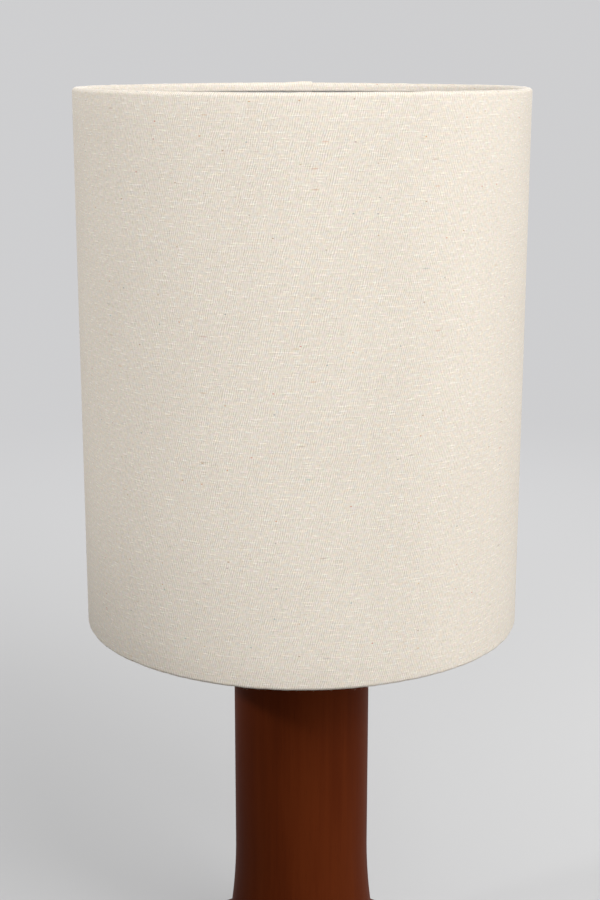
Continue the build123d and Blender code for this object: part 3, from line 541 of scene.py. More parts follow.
def plated_steel(name, colour, rough):
    """Zinc-plated or drawn steel: pale spangle and fine scratches."""
    f = Finish(name, Metallic=1.0)
    spangle = f.node("ShaderNodeTexVoronoi", {"Vector": f.place((0.35, 0.35, 0.35)), "Scale": 1.0})
    grey = f.node("ShaderNodeRGBToBW", {0: spangle["Color"]})[0]
    scratch = f.noise(f.place((3.0, 3.0, 0.3)), detail=3.0, rough=0.7)
    shade = f.blend(f.blend(0.82, 0.16, grey), 0.14, scratch)
    f.set("base color", f.mix(shade, tuple(0.35 * c for c in colour), colour))
    f.set("roughness", f.blend(rough, 0.2, scratch))
    f.set("normal", f.bump(scratch, 0.015, 0.3))
    return f.material


def cast_iron():
    """Sand-cast iron: dark grey, grainy, with a little rust in cloudy patches."""
    f = Finish("cast iron", Metallic=0.75)
    grain = f.noise(f.place((0.9, 0.9, 0.9)), detail=5.0, rough=0.7)
    rust = f.between(f.noise(f.place((0.06, 0.06, 0.06)), detail=4.0), 0.52, 0.72)
    metal = f.mix(grain, (0.05, 0.05, 0.053), (0.17, 0.17, 0.175))
    f.set("base color", f.mix(f.times(rust, 0.5), metal, (0.14, 0.055, 0.022)))
    f.set("roughness", f.blend(0.55, 0.3, grain))
    f.set("normal", f.bump(grain, 0.3, 0.6))
    return f.material


def felt():
    """Dark felt: matted short fibres in every direction."""
    f = Finish("dark felt", Roughness=1.0, Sheen_Weight=0.5, Sheen_Roughness=0.6, Specular_IOR_Level=0.1)
    mat = f.noise(f.place((0.8, 0.8, 0.8)), detail=6.0, rough=0.75, bend=2.0)
    tuft = f.noise(f.place((0.12, 0.12, 0.12)), detail=3.0)
    tone = f.blend(f.times(mat, 0.7), 0.3, tuft)
    f.set("base color", f.ramp(tone, (0.3, (0.022, 0.027, 0.024)), (0.7, (0.085, 0.10, 0.092))))
    f.set("normal", f.bump(mat, 0.5, 0.8))
    return f.material


def moulded(name, dark, light, rough):
    """Moulded plastic or phenolic: faint flow marks and a fine orange-peel skin."""
    f = Finish(name)
    flow = f.noise(f.place((0.12, 0.12, 0.12)), detail=3.0, bend=1.5)
    peel = f.noise(f.place((1.2, 1.2, 1.2)), detail=2.0)
    f.set("base color", f.mix(flow, dark, light))
    f.set("roughness", f.blend(rough, 0.18, peel))
    f.set("normal", f.bump(peel, 0.03, 0.3))
    return f.material


def card():
    """Brown insulating card: pressed fibres and a waxy surface."""
    f = Finish("insulating card", Specular_IOR_Level=0.3)
    fibre = f.noise(f.place((0.5, 0.5, 1.6)), detail=5.0, rough=0.7)
    f.set("base color", f.ramp(fibre, (0.3, (0.27, 0.18, 0.10)), (0.7, (0.52, 0.39, 0.25))))
    f.set("roughness", f.blend(0.6, 0.25, fibre))
    f.set("normal", f.bump(fibre, 0.08, 0.5))
    return f.material


def frosted_glass():
    """Bulb glass with a white coat inside: milky, with a faint cloud and a clear outer gloss."""
    f = Finish("frosted glass", Coat_Weight=0.5, Coat_Roughness=0.06, Transmission_Weight=0.12, IOR=1.45)
    cloud = f.noise(f.place((0.05, 0.05, 0.05)), detail=3.0)
    grain = f.noise(f.place((1.5, 1.5, 1.5)), detail=2.0)
    f.set("base color", f.mix(cloud, (0.86, 0.86, 0.84), (0.93, 0.93, 0.91)))
    f.set("roughness", f.blend(0.32, 0.12, grain))
    f.set("normal", f.bump(grain, 0.01, 0.2))
    return f.material


def plain_glass(name, colour, through):
    """Clear or black glass with faint drawn streaks."""
    f = Finish(name, Transmission_Weight=through, IOR=1.5)
    streak = f.noise(f.place((0.6, 0.6, 0.05)), detail=2.0)
    f.set("base color", f.mix(streak, tuple(0.8 * c for c in colour), colour))
    f.set("roughness", f.blend(0.05, 0.1, streak))
    f.set("normal", f.bump(streak, 0.02, 0.3))
    return f.material


LINEN = linen()
LINING = lining()
WOOD = stained_wood()
BRASS = brass()
ZINC = plated_steel("zinc-plated steel", (0.62, 0.63, 0.65), 0.28)
RING = plated_steel("white ring wire", (0.80, 0.80, 0.78), 0.35)
SHAFT = plated_steel("drawn steel", (0.62, 0.62, 0.63), 0.2)
ALUMINIUM = plated_steel("spun aluminium", (0.76, 0.76, 0.77), 0.25)
IRON = cast_iron()
FELT = felt()
PHENOLIC = moulded("brown phenolic", (0.018, 0.011, 0.008), (0.040, 0.026, 0.019), 0.30)
BUSHING = moulded("bushing plastic", (0.022, 0.015, 0.013), (0.042, 0.029, 0.026), 0.42)
CARD = card()
FROSTED = frosted_glass()
CLEAR = plain_glass("clear glass", (0.92, 0.94, 0.94), 0.9)
BLACK = plain_glass("black glass", (0.022, 0.022, 0.024), 0.0)


# -------- foot and column

flare_angle = math.degrees(math.asin(flare_height / flare_radius))
seam_radius = column_radius + flare_radius * (1 - math.cos(math.radians(flare_angle)))
cove_x = seam_radius + cove_radius * math.cos(math.radians(flare_angle))
cove_z = seam_z + cove_radius * math.sin(math.radians(flare_angle))
cove = arc((cove_x, cove_z), cove_radius, 180 + flare_angle, 264, 40)
spigot_height = 12  # of the foot's neck inside the column
spigot_radius = bore_radius - 0.1
underside = rounded(
    [
        cove[-1],
        (foot_rim_radius, foot_corner_z),
        (foot_rim_radius, 2.0),
        (recess_radius, 2.0),
        (recess_radius, recess_roof_z),
        (pipe_hole_radius, recess_roof_z),
        (pipe_hole_radius, seam_z + spigot_height),
        (spigot_radius, seam_z + spigot_height),
        (spigot_radius, seam_z),
        cove[0],
    ],
    [6.0, 4.0, 0.6, 1.5, 0.3, 0.3, 0.8, 0.3],
    10,
)
foot_profile = np.vstack([cove[:-1], underside])
to_back = np.array([1, -1, 1])
outlet = [(0, -60), (4.8, -60), (4.8, -10), (5.45, -10), (5.45, -1.8), (6.85, -1.8), (6.85, 30), (0, 30)]
outlet = moved(lying(lathe(np.array(outlet, float), 48)) * to_back, y=foot_rim_radius, z=outlet_z)
outlet[..., 1] = np.maximum(outlet[..., 1], recess_radius - 4)
skin("foot_wood", [lathe(foot_profile, 224)], "root", WOOD, ["foot"], drills=[outlet])

flare_centre = (column_radius + flare_radius, seam_z + flare_height)
flare = arc(flare_centre, flare_radius, 180 + flare_angle, 180, 28)
bore_roof_z = column_top_z - 25
column_rest = rounded(
    [
        flare[-1],
        (column_radius, column_top_z),
        (pipe_hole_radius, column_top_z),
        (pipe_hole_radius, bore_roof_z),
        (bore_radius, bore_roof_z),
        (bore_radius, seam_z),
        flare[0],
    ],
    [3.0, 0.3, 0.3, 2.0, 0.3],
    8,
)
column_profile = np.vstack([flare[:-1], column_rest])
skin("column_wood", [lathe(column_profile, 224)], "root", WOOD, ["column"])

felt_radius = foot_rim_radius - 8
felt_profile = rounded([(0, 0), (felt_radius, 0), (felt_radius, 2), (0, 2)], [0.5, 0.5], 5)
felt_sides = 240
felt_wave = sum(0.10 * np.sin(n * once_round(felt_sides) + 1.7 * n) for n in (7, 13, 23, 41))
felt_edge = ease(felt_profile[:, :1], felt_radius - 7, felt_radius) * felt_wave
skin("felt_disc", [lathe(felt_profile, felt_sides, felt_edge)], "root", FELT, ["felt_pad"])

bushing = rounded_loop(
    [(4.0, -13.8), (5.4, -13.8), (5.4, -1.8), (6.8, -1.8), (6.8, 0), (4.0, 0)],
    [0.3, 0.6, 0.1, 0.2, 0.85, 0.6],
)
bushing = moved(lying(lathe(bushing, 72)) * to_back, y=foot_rim_radius, z=outlet_z)
skin("outlet_bushing", [bushing], "root", BUSHING, ["cord_bushing"])


# -------- brass on the column

cap = [(pipe_hole_radius, 0), (38, 0), (38, 1.2), (13.6, 1.2), (13, 2.0), (pipe_hole_radius, 2.0)]
cap = rounded_loop(cap, [0.1, 0.5, 0.6, 0.5, 0.4, 0.1]) + [0, column_top_z]
skin("column_cap_brass", [lathe(cap, 160)], "root", BRASS, ["column_cap"])

turned = [
    (pipe_hole_radius, 0),
    (8.6, 0),
    (8.6, 1.7),
    (7.9, 2.1),
    (6.7, 4.6),
    (6.6, 6.3),
    (7.1, 6.9),
    (6.6, 7.5),
    (6.7, 9.2),
    (7.9, 11.7),
    (8.6, 12.1),
    (8.6, 13.8),
    (pipe_hole_radius, 13.8),
]
turned = rounded_loop(turned, [0.1, 0.5, 0.5, 0.4, 1.5, 0.3, 0.35, 0.3, 1.5, 0.4, 0.5, 0.5, 0.1], 5)
skin("neck_brass", [lathe(turned + [0, neck_z], 112)], "root", BRASS, ["neck"])


# -------- harp

strap_half = 0.7
saddle_mid = saddle_z + strap_half
strap_side = [(harp_leg_x, 0, saddle_mid), (harp_leg_x, 0, harp_foot_z)]
strap_route = [(-x, y, z) for x, y, z in reversed(strap_side)] + strap_side
strap_path = evenly(rounded(strap_route, 12.7, 14), 1.0)
tip = harp_foot_z - strap_path[:, 2]
strap_width = 3.6 + 8.4 * ease(tip, 8.5, 12.5)
strap_round = rounded_loop([(-1, -1), (1, -1), (1, 1), (-1, 1)], 0.36, 4)
strap_size = np.stack([strap_width / 2, np.full(len(tip), strap_half)], -1)
strap = sweep(strap_path, strap_round[None] * strap_size[:, None], (0, 1, 0))
pipe_hole = moved(pin(pipe_hole_radius, -6, 6), z=saddle_mid)
skin("saddle_brass", [strap], "root", BRASS, ["harp_saddle"], drills=[pipe_hole])

bow_z = harp_foot_z + 34
harp_side = [
    (harp_leg_x, 0, harp_foot_z + 0.1),
    (harp_leg_x, 0, bow_z),
    (64, 0, bow_z + 60),
    (64, 0, bow_z + 140),
    (18, 0, harp_top_z),
]
harp_route = harp_side + [(-x, y, z) for x, y, z in reversed(harp_side)]
harp_path = evenly(rounded(harp_route, [45, 110, 200, 12, 12, 200, 110, 45], 20), 2.4)
skin("harp_wire", [sweep(harp_path, circle(1.9, 24), (0, 1, 0))], "harp", BRASS, ["harp_hoop"])

ferrule = [(2.0, 0), (3.6, 0), (3.6, 1.5), (3.25, 1.9), (3.15, 8)]
ferrule = ferrule + [(r, 16 - z) for r, z in reversed(ferrule[:-1])]
ferrule = rounded_loop(ferrule, [0.15, 0.7, 0.5, 0.3, 20, 0.3, 0.5, 0.7, 0.15], 6)
ferrule = moved(lathe(ferrule, 64), z=harp_foot_z - 8)
for body, leg_x in (("sleeve_left", -harp_leg_x), ("sleeve_right", harp_leg_x)):
    skin(body + "_brass", [moved(ferrule, x=leg_x)], body, BRASS, [body])

block = slab(8, 5, 2.5, harp_top_z - 3.4, bracket_top_z, 0.9)
wire_way = sweep([(x, 0, harp_top_z) for x in (-12, 0, 12)], circle(1.95, 32), (0, 1, 0))
pivot_way = moved(pin(2.55, -5.5, 4, 40), z=bracket_top_z)
skin("bracket_brass", [block], "harp", BRASS, ["harp_bracket"], drills=[wire_way, pivot_way])

stud = [(0, -5.4), (2.5, -5.4), (2.5, 0), (7, 0), (7, 2.0)]
stud = stud + [(3.175, 2.0), (3.175, 12.9), (2.54, 13.6), (0, 13.6)]
stud = rounded(stud, [0.3, 0.1, 0.6, 0.6, 0.1, 0.2, 0.2], 5)
stud = np.vstack([stud[:-20], evenly(stud[-20:], 0.12)])
stud_depth = ease(stud[:, 1:], 3.0, 3.6) * ease(stud[:, 1:], 13.5, 12.6) * ease(stud[:, :1], 2.6, 3.1)
stud_thread = -0.34 * np.abs(2 * (screw_turns(stud, stud_pitch, 64) % 1) - 1) * stud_depth
stud_grid = lathe(stud + [0, bracket_top_z], 64, stud_thread)
skin("stud_brass", [stud_grid], "stud", BRASS, ["harp_stud"])


# -------- shade

fold_x = 9.4  # folded edge of the cloth's upper end, seen from the front
fold_allowance = 11.4  # cloth turned under behind the fold
under_end_x = -12.0  # cut edge of the cloth's lower end
cloth = 0.5
gap = 0.05  # air between layers that lie on each other
mm_per_degree = 3.107  # round the drum

fold_at = 90 - math.degrees(math.asin(fold_x / shade_radius))
under_at = 450 - math.degrees(math.asin(under_end_x / shade_radius))
# round the drum from the fold to the cut edge, closest at both edges and at the lap
angles = np.concatenate(
    [
        fold_at + np.array([0, 0.012, 0.04, 0.08, 0.13]),
        np.linspace(fold_at + 0.2, 98, 44),
        np.linspace(98, 446, 500)[1:-1],
        np.linspace(446, under_at - 0.1, 12),
        under_at - np.array([0.05, 0.02, 0]),
    ]
)
bearing = np.radians(angles)
lap_x = shade_radius * np.sin(math.pi / 2 - bearing)  # distance from the back's middle, to the right
upper = angles < 180
raised = cloth * ease(lap_x, -17, -12) * upper
doubled = (cloth - gap) * ease(lap_x, fold_x - fold_allowance - 3, fold_x - fold_allowance) * upper
outer = raised + doubled
inner = np.where(upper, raised - cloth + 0.02, -cloth)
from_fold, from_cut = (angles - fold_at) * mm_per_degree, (under_at - angles) * mm_per_degree
# the fold is half round, and the cut edge thins out
curl = np.sqrt(np.clip(1 - (1 - np.clip(from_fold / 0.47, 0, 1)) ** 2, 0, 1))
curl = curl * ease(from_cut, 0, 0.25) ** 0.5
middle, half = (outer + inner) / 2, (outer - inner) / 2 * curl
outer, inner = middle + half, middle - half

# Over the ring the cloth turns in and hangs flat, and its cut edge is tucked back to the lining.
tuck = 1.2  # how far the cut edge hangs below the hem's usual depth
cut_share = 0.4  # share of the drum's own lap and folds that is left at the cut edge
around = np.radians(np.linspace(180, 0, 15))
ring_normals = np.stack([np.cos(around), np.sin(around)], -1)
ring_points = ring_normals * roll_radius
reach = lining_radius - gap - ring_centre_radius
drop = hem_depth + tuck - roll_radius
tail = rounded([(reach, -drop), (-roll_radius + 0.2, -drop + 0.5), (-roll_radius, 0)], 1.0, 5)
tail = evenly(tail, 0.8)
tail_run = unit(np.gradient(tail, axis=0))[:-1]
roll_points = np.vstack([tail[:-1], ring_points])
roll_normals = np.vstack([np.stack([-tail_run[:, 1], tail_run[:, 0]], -1), ring_normals])
roll_r, roll_rise = ring_centre_radius + roll_points[:, 0], roll_points[:, 1]
fade = np.full(len(roll_points), cut_share)
fade[len(tail) - 1 :] = np.interp(np.arange(len(ring_points)), [0, 4], [cut_share, 1])

wall_z = np.linspace(top_ring_z, bottom_ring_z, 22)[1:-1]
wall = np.ones(len(wall_z))
base_r = np.concatenate([roll_r, wall * shade_radius, roll_r[::-1]])
base_z = np.concatenate([top_ring_z + roll_rise, wall_z, (bottom_ring_z - roll_rise)[::-1]])
normal_r = np.concatenate([roll_normals[:, 0], wall, roll_normals[::-1, 0]])
normal_z = np.concatenate([roll_normals[:, 1], wall * 0, -roll_normals[::-1, 1]])
lap_share = np.concatenate([fade, wall, fade[::-1]])

arm_angles = (30, 150, 270)
rng = np.random.default_rng(11)


def uneven(bearing, low, high, size):
    """Sum of level sines round the shade, whose heights fall as their count rises."""
    n = np.arange(low, high)[:, None]
    phase = rng.uniform(0, TAU, n.shape)
    height = rng.normal(0, 1, n.shape) / np.sqrt(n)
    wave = (height * np.sin(n * np.asarray(bearing) + phase)).sum(0)
    return size * wave / np.sqrt((height**2).sum() / 2)


# waves round a rim: fewest, most and size of the long ones, the short ones and the puckers
long, short, puckers = (2, 9, 0.10), (14, 60, 0.05), (20, 120, 0.05)
top_wave = uneven(bearing, *long) + uneven(bearing, *short)
bottom_wave = uneven(bearing, *long) + uneven(bearing, *short)
top_plump = uneven(bearing, *puckers)
bottom_plump = uneven(bearing, *puckers)
at_top = ease(base_z, top_ring_z - 12, top_ring_z + 1)[:, None]
at_bottom = ease(base_z, bottom_ring_z + 12, bottom_ring_z - 1)[:, None]


def cloth_face(offset):
    """The cloth's surface at an offset from the drum, rolled over both rings."""
    out = offset[None] * lap_share[:, None] + at_top * top_plump + at_bottom * bottom_plump
    radius = base_r[:, None] + normal_r[:, None] * out
    height = base_z[:, None] + normal_z[:, None] * out + at_top * top_wave + at_bottom * bottom_wave
    return np.stack([radius * np.cos(bearing), radius * np.sin(bearing), height], -1)


face, back = cloth_face(outer), cloth_face(inner)
shade_grid = np.concatenate([face, back[::-1], face[:1]])
down = np.concatenate([[0], np.cumsum(np.hypot(np.diff(base_r), np.diff(base_z)))])
weave_v = np.concatenate([down, down[::-1], down[:1]]) * -MM
weave_u = bearing * shade_radius * MM
snip = moved(pin(2.0, shade_top_z - 11, arm_top_z, 24), x=ring_centre_radius)
snips = [turned_by(snip, a) for a in arm_angles]
shade_uv = np.stack(np.broadcast_arrays(weave_u[None], weave_v[:, None]), -1)
shade = skin(
    "shade_linen",
    [shade_grid],
    "shade",
    LINEN,
    ["shade_cloth", "shade_top_hem", "shade_bottom_hem", "shade_seam"],
    uv=[shade_uv],
    crease=50,
    drills=snips,
)

liner_sides = 480
liner_angle = once_round(liner_sides)
liner_back = shade_radius - cloth - gap
liner_corners = [
    (lining_radius, bottom_ring_z),
    (liner_back, bottom_ring_z),
    (liner_back, top_ring_z),
    (lining_radius, top_ring_z),
]
liner_profile = rounded_loop(liner_corners, 0.15, 2)
liner_x = shade_radius * np.cos(liner_angle)
liner_lap = 0.25 * ease(liner_x, -22, -18) * ease(liner_x, 6.0, 5.2) * (np.sin(liner_angle) > 0)
liner_step = -liner_lap * (liner_profile[:, :1] < lining_radius + 0.3)
liner_grid = lathe(liner_profile, liner_sides, liner_step)
skin("shade_lining", [liner_grid], "shade", LINING, ["shade_liner"])

for rim, height in (("top", top_ring_z), ("bottom", bottom_ring_z)):
    hoop = lathe(circle(ring_wire_radius) + [ring_centre_radius, height], 240)
    skin(rim + "_ring_wire", [hoop], "shade", RING, ["shade_" + rim + "_ring"])

arm_path = [(10.8, 0, arm_z), (ring_centre_radius, 0, arm_z), (ring_centre_radius, 0, arm_top_z)]
arm_path = evenly(rounded(arm_path, 9.0, 14), 2.0)
arm_size = np.ones(len(arm_path))
arm_size[[0, -1]] = 0.8
arm = sweep(arm_path, circle(ring_wire_radius), (0, 1, 0), arm_size)
bead = lathe(np.vstack([[0, -1.2], arc((0, 0), 1.0, -60, 90, 10) * [2.9, 1.2], [0, 1.2]]), 28)
hub_braze = moved(bead, x=13.2, z=arm_z - 0.9)
arms = [turned_by(g, a) for a in arm_angles for g in (arm, hub_braze)]
skin("spider_wires", arms, "shade", BRASS, ["spider_arms"])

hub = [(3.3, harp_seat_z), (16, harp_seat_z), (16, hub_top_z), (3.3, hub_top_z)]
hub = rounded_loop(hub, [0.15, 0.5, 0.5, 0.3])
skin("hub_brass", [lathe(hub, 120)], "shade", BRASS, ["spider_hub"])


# -------- finial

knob = [
    (3.25, 0),
    (9.0, 0),
    (9.5, 0.5),
    (9.5, 2.5),
    (8.8, 3.1),
    (6.6, 3.3),
    (5.6, 4.3),
    (5.5, 5.0),
    (7.4, 6.4),
    (8.0, 7.2),
    (8.0, 9.2),
    (7.6, 10.4),
]
knob = rounded(knob, [0.3, 0.3, 0.4, 0.4, 0.6, 0.8, 0.5, 1.0, 0.6, 0.8], 5)
dome = arc((0, 8.4), 7.6, 16, 90, 22)
finial_top = np.vstack([knob, dome, [(0, 11.5), (3.25, 11.5), (3.25, 0)]])
finial_top[:, 1] = np.minimum(finial_top[:, 1], finial_height)
scallop = -0.5 * lobes(18, 288) ** 3
knurl = -0.10 * lobes(48, 288)
on_base = (finial_top[:, :1] > 8.7) & (finial_top[:, 1:] < 3.2)
on_grip = ease(finial_top[:, 1:], 6.6, 7.2) * ease(finial_top[:, 1:], 9.9, 9.3) * (finial_top[:, :1] > 7)
finial_ripple = scallop * on_base + knurl * on_grip
finial_grid = lathe(finial_top + [0, hub_top_z], 288, finial_ripple)
skin("finial_brass", [finial_grid], "finial", BRASS, ["finial"])


# -------- socket

spun = [
    (5.0, 0),
    (8.5, 0),
    (8.5, 5.3),
    (19.4, 12.8),
    (19.4, 23.8),
    (18.6, 23.8),
    (18.6, 13.3),
    (8.5, 6.4),
    (8.5, 8.8),
    (5.0, 8.8),
]
spun = rounded_loop(spun, [0.2, 0.5, 1.6, 4.0, 0.35, 0.35, 3.0, 0.3, 0.2, 0.2], 8)
spun = np.vstack([spun[:1], evenly(spun, 0.5)[1:]])
spun_ripple = -0.25 * bell(spun[:, 1:], 20.8, 0.5) * (spun[:, :1] > 19.0)
screw_way = moved(lying(pin(1.55, 2, 12, 32)) * to_back, z=socket_z + 2.65)
spun_grid = lathe(spun + [0, socket_z], 144, spun_ripple)
skin("socket_cap_brass", [spun_grid], "root", BRASS, ["socket_cap"], drills=[screw_way])

sleeve = [(18.0, 0), (18.5, 0), (18.5, 38.0), (19.4, 38.6), (19.4, 39.6), (18.0, 40.0)]
sleeve = evenly(rounded_loop(sleeve, [0.1, 0.2, 0.4, 0.45, 0.4, 0.2], 6), 0.5)
crimp = -0.22 * (bell(sleeve[:, 1:], 30.5, 0.6) + bell(sleeve[:, 1:], 33.5, 0.6))
switch_way = moved(lying(pin(3.2, 10, 30, 40)), z=switch_z)
sleeve_grid = lathe(sleeve + [0, shell_z], 144, crimp)
skin("socket_shell_brass", [sleeve_grid], "root", BRASS, ["socket_shell"], drills=[switch_way])

grip = rounded(
    [(0, 1.0), (1.95, 1.0), (1.95, 0.0), (4.6, 0), (5.1, 6.0), (6.0, 18), (0, 18)],
    [0.1, 0.1, 0.6, 4.0, 1.2],
    6,
)
grip = evenly(grip, 0.4)
grip_flutes = -0.45 * lobes(12, 144) ** 2 * (grip[:, :1] > 4.2) * ease(grip[:, 1:], 17.8, 16.2)
grip_start = 20.9  # from the socket's axis to the front
grip_piece = moved(lying(lathe(grip, 144, grip_flutes)), y=-grip_start, z=switch_z)
skin("switch_grip", [grip_piece], "switch", PHENOLIC, ["switch_knob"])

core_top_z = bulb_z - 1.2
contact_shell = rounded_loop([(13.1, 0), (13.6, 0), (13.6, 22.4), (13.1, 23.0)], [0.1, 0.1, 0.3, 0.2], 3)
contact_shell = evenly(contact_shell + [0, core_top_z], 0.4)
shell_thread = 0.22 * (1 + np.sin(TAU * screw_turns(contact_shell, screw_pitch, 96)))
shell_thread = shell_thread * ease(contact_shell[:, 1:], core_top_z + 1, core_top_z + 3)
shell_thread = shell_thread * ease(contact_shell[:, 1:], core_top_z + 22, core_top_z + 20)
shell_grid = lathe(contact_shell, 96, shell_thread)
skin("contact_shell_metal", [shell_grid], "root", ALUMINIUM, ["screw_shell"])


# -------- bulb

cap_foot_z = bulb_z + 4.8
cap_rim_z = cap_foot_z + 24
threaded = rounded_loop(
    [(9.2, 0), (9.5, 0), (13.0, 3.5), (13.0, 24), (12.7, 24), (12.7, 3.6)],
    [0.1, 0.1, 1.0, 0.1, 0.1, 1.0],
    5,
)
threaded = evenly(threaded + [0, cap_foot_z], 0.35)
thread = -0.42 * (1 - np.cos(TAU * screw_turns(threaded, screw_pitch, 96)))
thread = thread * ease(threaded[:, 1:], cap_foot_z + 3, cap_foot_z + 5)
thread = thread * ease(threaded[:, 1:], cap_foot_z + 20, cap_foot_z + 18)
cap_grid = lathe(threaded, 96, thread)
skin("bulb_cap_metal", [cap_grid], "bulb", ALUMINIUM, ["bulb_base"])

bulb_centre_z = bulb_top_z - bulb_radius
shoulder_x = bulb_neck_radius + bulb_shoulder_radius
shoulder_reach = bulb_radius + bulb_shoulder_radius
shoulder_z = bulb_centre_z - math.sqrt(shoulder_reach**2 - shoulder_x**2)
shoulder_angle = math.degrees(math.acos(shoulder_x / shoulder_reach))


def glass_side(wall):
    """The bulb's outline from root to crown, set in by the wall."""
    root = np.array([(11.9, cap_rim_z - 6), (11.9, cap_rim_z), (bulb_neck_radius, cap_rim_z + 1.35)])
    root[:, 0] -= wall
    shoulder = arc((shoulder_x, shoulder_z), bulb_shoulder_radius + wall, 180, 180 - shoulder_angle, 20)
    crown = arc((0, bulb_centre_z), bulb_radius - wall, -shoulder_angle, 90, 44)
    return np.vstack([rounded(np.vstack([root, shoulder[:1]]), 0.8, 4)[:-1], shoulder[:-1], crown])


glass = np.vstack([glass_side(0), glass_side(0.8)[::-1]])
glass = np.vstack([glass, glass[:1]])
glass[np.abs(glass[:, 0]) < 1e-9, 0] = 0
skin("bulb_frosted", [lathe(glass, 112)], "bulb", FROSTED, ["bulb_glass"])


# -------- loose fibres of the cloth

fibre_count = 1500
hem_share = 0.72  # of the fibres, the rest stand on the wall
fibre_radius = 0.045
fibre_at = rng.uniform(0, TAU, fibre_count)
on_hem = rng.random(fibre_count) < hem_share
hem_turn = np.radians(rng.uniform(-115, 10, fibre_count))
free_z = rng.uniform(bottom_ring_z, top_ring_z, fibre_count)
fibre_r = np.where(on_hem, ring_centre_radius + roll_radius * np.cos(hem_turn), shade_radius)
fibre_z = np.where(on_hem, bottom_ring_z + roll_radius * np.sin(hem_turn), free_z)
tilt = np.where(on_hem, hem_turn, 0)
fibre_length = rng.uniform(0.8, 2.4, fibre_count)
fibre_lean = rng.uniform(0.15, 0.9, fibre_count)
fibre_turn = rng.uniform(0, TAU, fibre_count)
fibre_curl = rng.uniform(-1.2, 1.2, fibre_count)
out_way = np.stack([np.cos(fibre_at) * np.cos(tilt), np.sin(fibre_at) * np.cos(tilt), np.sin(tilt)], -1)
side_way = np.stack([-np.sin(fibre_at), np.cos(fibre_at), np.zeros(fibre_count)], -1)
cross_way = np.cross(out_way, side_way)
along_way = side_way * np.cos(fibre_turn)[:, None] + cross_way * np.sin(fibre_turn)[:, None]
root = np.stack([fibre_r * np.cos(fibre_at), fibre_r * np.sin(fibre_at), fibre_z], -1) - 0.05 * out_way
t = np.linspace(0, 1, 6)[None, :, None]  # along a fibre, from its root
lift = (fibre_lean * fibre_length)[:, None, None] * np.sin(t * 1.4)
run = (np.sqrt(1 - fibre_lean**2 * 0.9) * fibre_length)[:, None, None] * t
bend = (fibre_curl * fibre_length * 0.3)[:, None, None] * t**2
other_way = np.cross(out_way, along_way)
spine = root[:, None] + out_way[:, None] * lift + along_way[:, None] * run + other_way[:, None] * bend
spread = np.radians([0, 120, 240, 360])
ring = np.stack([np.cos(spread), np.sin(spread)], -1)
ring[-1] = ring[0]
thick = fibre_radius * (1 - 0.6 * t.ravel())
fibres = spine[:, :, None] + thick[None, :, None, None] * (
    ring[None, None, :, :1] * other_way[:, None, None] + ring[None, None, :, 1:] * out_way[:, None, None]
)
tips = np.repeat(spine[:, :, None], 4, axis=2)
fibres = np.concatenate([tips[:, :1], fibres, tips[:, -1:]], 1)
one_spot = [0.3, 0.2]  # of the cloth's pattern, so that a fibre has one colour
fibre_uv = [np.full((*g.shape[:2], 2), one_spot) for g in fibres]
lint = skin("shade_lint", list(fibres), "shade", LINEN, uv=fibre_uv)


# -------- finishes of the CAD pieces kept as they are

cad_finishes = {
    IRON: ["base_weight"],
    ZINC: ["base_washer", "lock_washer", "base_nut", "lamp_pipe"],
    BRASS: ["centre_contact", "terminal_screws", "set_screw"],
    CARD: ["cap_insulator", "shell_insulator"],
    PHENOLIC: ["socket_core", "switch_cam"],
    SHAFT: ["switch_shaft", "bulb_contact", "bulb_filament"],
    CLEAR: ["bulb_stem"],
    BLACK: ["bulb_insulator"],
}
for material, names in cad_finishes.items():
    for name in names:
        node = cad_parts[name]
        node.data.materials.clear()
        node.data.materials.append(material)


# -------- floor, light and camera


def pale_rays(f):
    """1 for straight, mirrored and refracted rays, which see the pale backdrop, and 0 for others."""
    ray = f.node("ShaderNodeLightPath", {})
    mirrored = f.sum("MAXIMUM", ray["Is Camera Ray"], ray["Is Glossy Ray"])
    return f.sum("MAXIMUM", mirrored, ray["Is Transmission Ray"])


PALE = (0.62, 0.62, 0.63)
FLOOR_FACE = (0.62, 0.62, 0.62)
FLOOR_GLOW = (0.16, 0.16, 0.16)  # for the light that the floor throws back on the lamp

floor_finish = bpy.data.materials.new("pale floor")
f = Nodes(floor_finish)
pale = pale_rays(f)
matt = f.node("ShaderNodeBsdfDiffuse", {"Color": f.mix(pale, FLOOR_GLOW, FLOOR_FACE)})[0]
glow = f.node("ShaderNodeEmission", {"Color": (*PALE, 1)})[0]
here = f.node("ShaderNodeTexCoord", {})["Object"]
distance = f.node("ShaderNodeVectorMath", {0: here}, operation="LENGTH")["Value"]
far = f.between(distance, 0.5, 2.4, 0.35, 1.0)
joined = f.node("ShaderNodeMixShader", {0: f.times(far, pale), 1: matt, 2: glow})[0]
f.node("ShaderNodeOutputMaterial", {"Surface": joined})

floor_mesh = bpy.data.meshes.new("floor")
floor_half = 60.0
floor_corners = [(x * floor_half, y * floor_half, 0) for x, y in ((-1, -1), (1, -1), (1, 1), (-1, 1))]
floor_mesh.from_pydata(floor_corners, [], [(0, 1, 2, 3)])
floor_mesh.materials.append(floor_finish)
floor = bpy.data.objects.new("floor", floor_mesh)
bpy.context.scene.collection.objects.link(floor)

world = bpy.data.worlds.new("studio")
f = Nodes(world)
soft = f.node("ShaderNodeBackground", {"Color": (1, 1, 1, 1), "Strength": 0.38})[0]
backdrop = f.node("ShaderNodeBackground", {"Color": (*PALE, 1)})[0]
joined = f.node("ShaderNodeMixShader", {0: pale_rays(f), 1: soft, 2: backdrop})[0]
f.node("ShaderNodeOutputWorld", {"Surface": joined})
bpy.context.scene.world = world


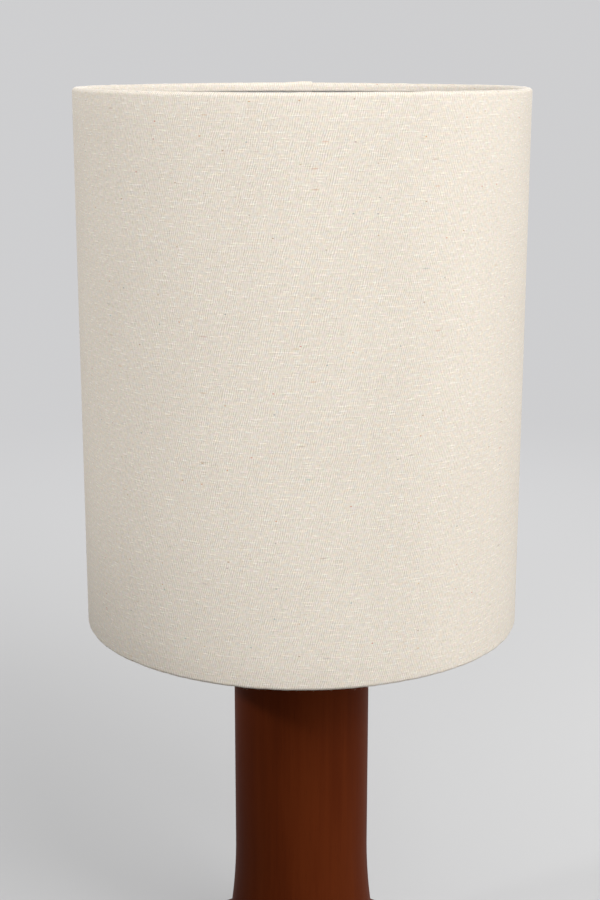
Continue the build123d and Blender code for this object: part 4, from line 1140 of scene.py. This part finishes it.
def standing(x, y, z, place):
    """Matrix of an object with these axes at a place."""
    rows = [[*row, p] for row, p in zip(np.stack([x, y, z], 1).tolist(), place)]
    return Matrix(rows + [[0, 0, 0, 1]])


def aimed(name, light, place, aim):
    """Puts a lamp at a place, turned towards a point, both in metres."""
    lamp = bpy.data.objects.new(name, light)
    z = unit(np.array(place, float) - np.array(aim, float))
    x = unit(np.cross([0, 0, 1], z))
    lamp.matrix_world = standing(x, np.cross(z, x), z, place)
    bpy.context.scene.collection.objects.link(lamp)


def softbox(name, place, aim, size, power):
    """Rectangular soft light."""
    light = bpy.data.lights.new(name, "AREA")
    light.shape, light.size, light.size_y, light.energy = "RECTANGLE", size[0], size[1], power
    aimed(name, light, place, aim)


def snooted(name, place, aim, radius, power, beam, soft):
    """Round soft light whose beam is a cone of so many degrees, soft over that share of it."""
    light = bpy.data.lights.new(name, "SPOT")
    light.shadow_soft_size, light.energy = radius, power
    light.spot_size, light.spot_blend = math.radians(beam), soft
    aimed(name, light, place, aim)


softbox("key", (2.0, -2.0, 1.6), (0, 0, 0.5), (1.3, 1.6), 40)
softbox("high front", (1.05, -2.0, 2.5), (0, 0, 0.5), (1.4, 1.4), 34)
softbox("side", (2.6, -0.5, 1.6), (0, 0, 0.5), (1.2, 1.6), 12)
snooted("left", (-2.3, -1.12, 1.75), (0, 0, 1.0), 0.15, 156, 32.0, 0.27)
softbox("back", (0.25, 2.9, 1.5), (0, 0, 0.5), (1.6, 1.6), 55)

# Camera as the photograph was taken: 13.7 degrees down, turned and tilted a hair.
pitch, yaw, roll = math.radians(13.722), math.radians(0.063), math.radians(0.040)
look = np.array([math.sin(yaw) * math.cos(pitch), math.cos(yaw) * math.cos(pitch), -math.sin(pitch)])
level = unit(np.cross(look, [0, 0, 1]))
upright = np.cross(level, look)
right = level * math.cos(roll) + upright * math.sin(roll)
up = upright * math.cos(roll) - level * math.sin(roll)
camera = bpy.data.objects.new("camera", bpy.data.cameras.new("camera"))
camera.data.lens = 65.31
camera.data.sensor_width = 36.0
camera.data.clip_start, camera.data.clip_end = 0.05, 200.0
stand = (-0.00285, -1.30413, 0.8049)
camera.matrix_world = standing(right, up, -look, stand)
bpy.context.scene.collection.objects.link(camera)
bpy.context.scene.camera = camera
bpy.context.scene.view_settings.view_transform = "Standard"
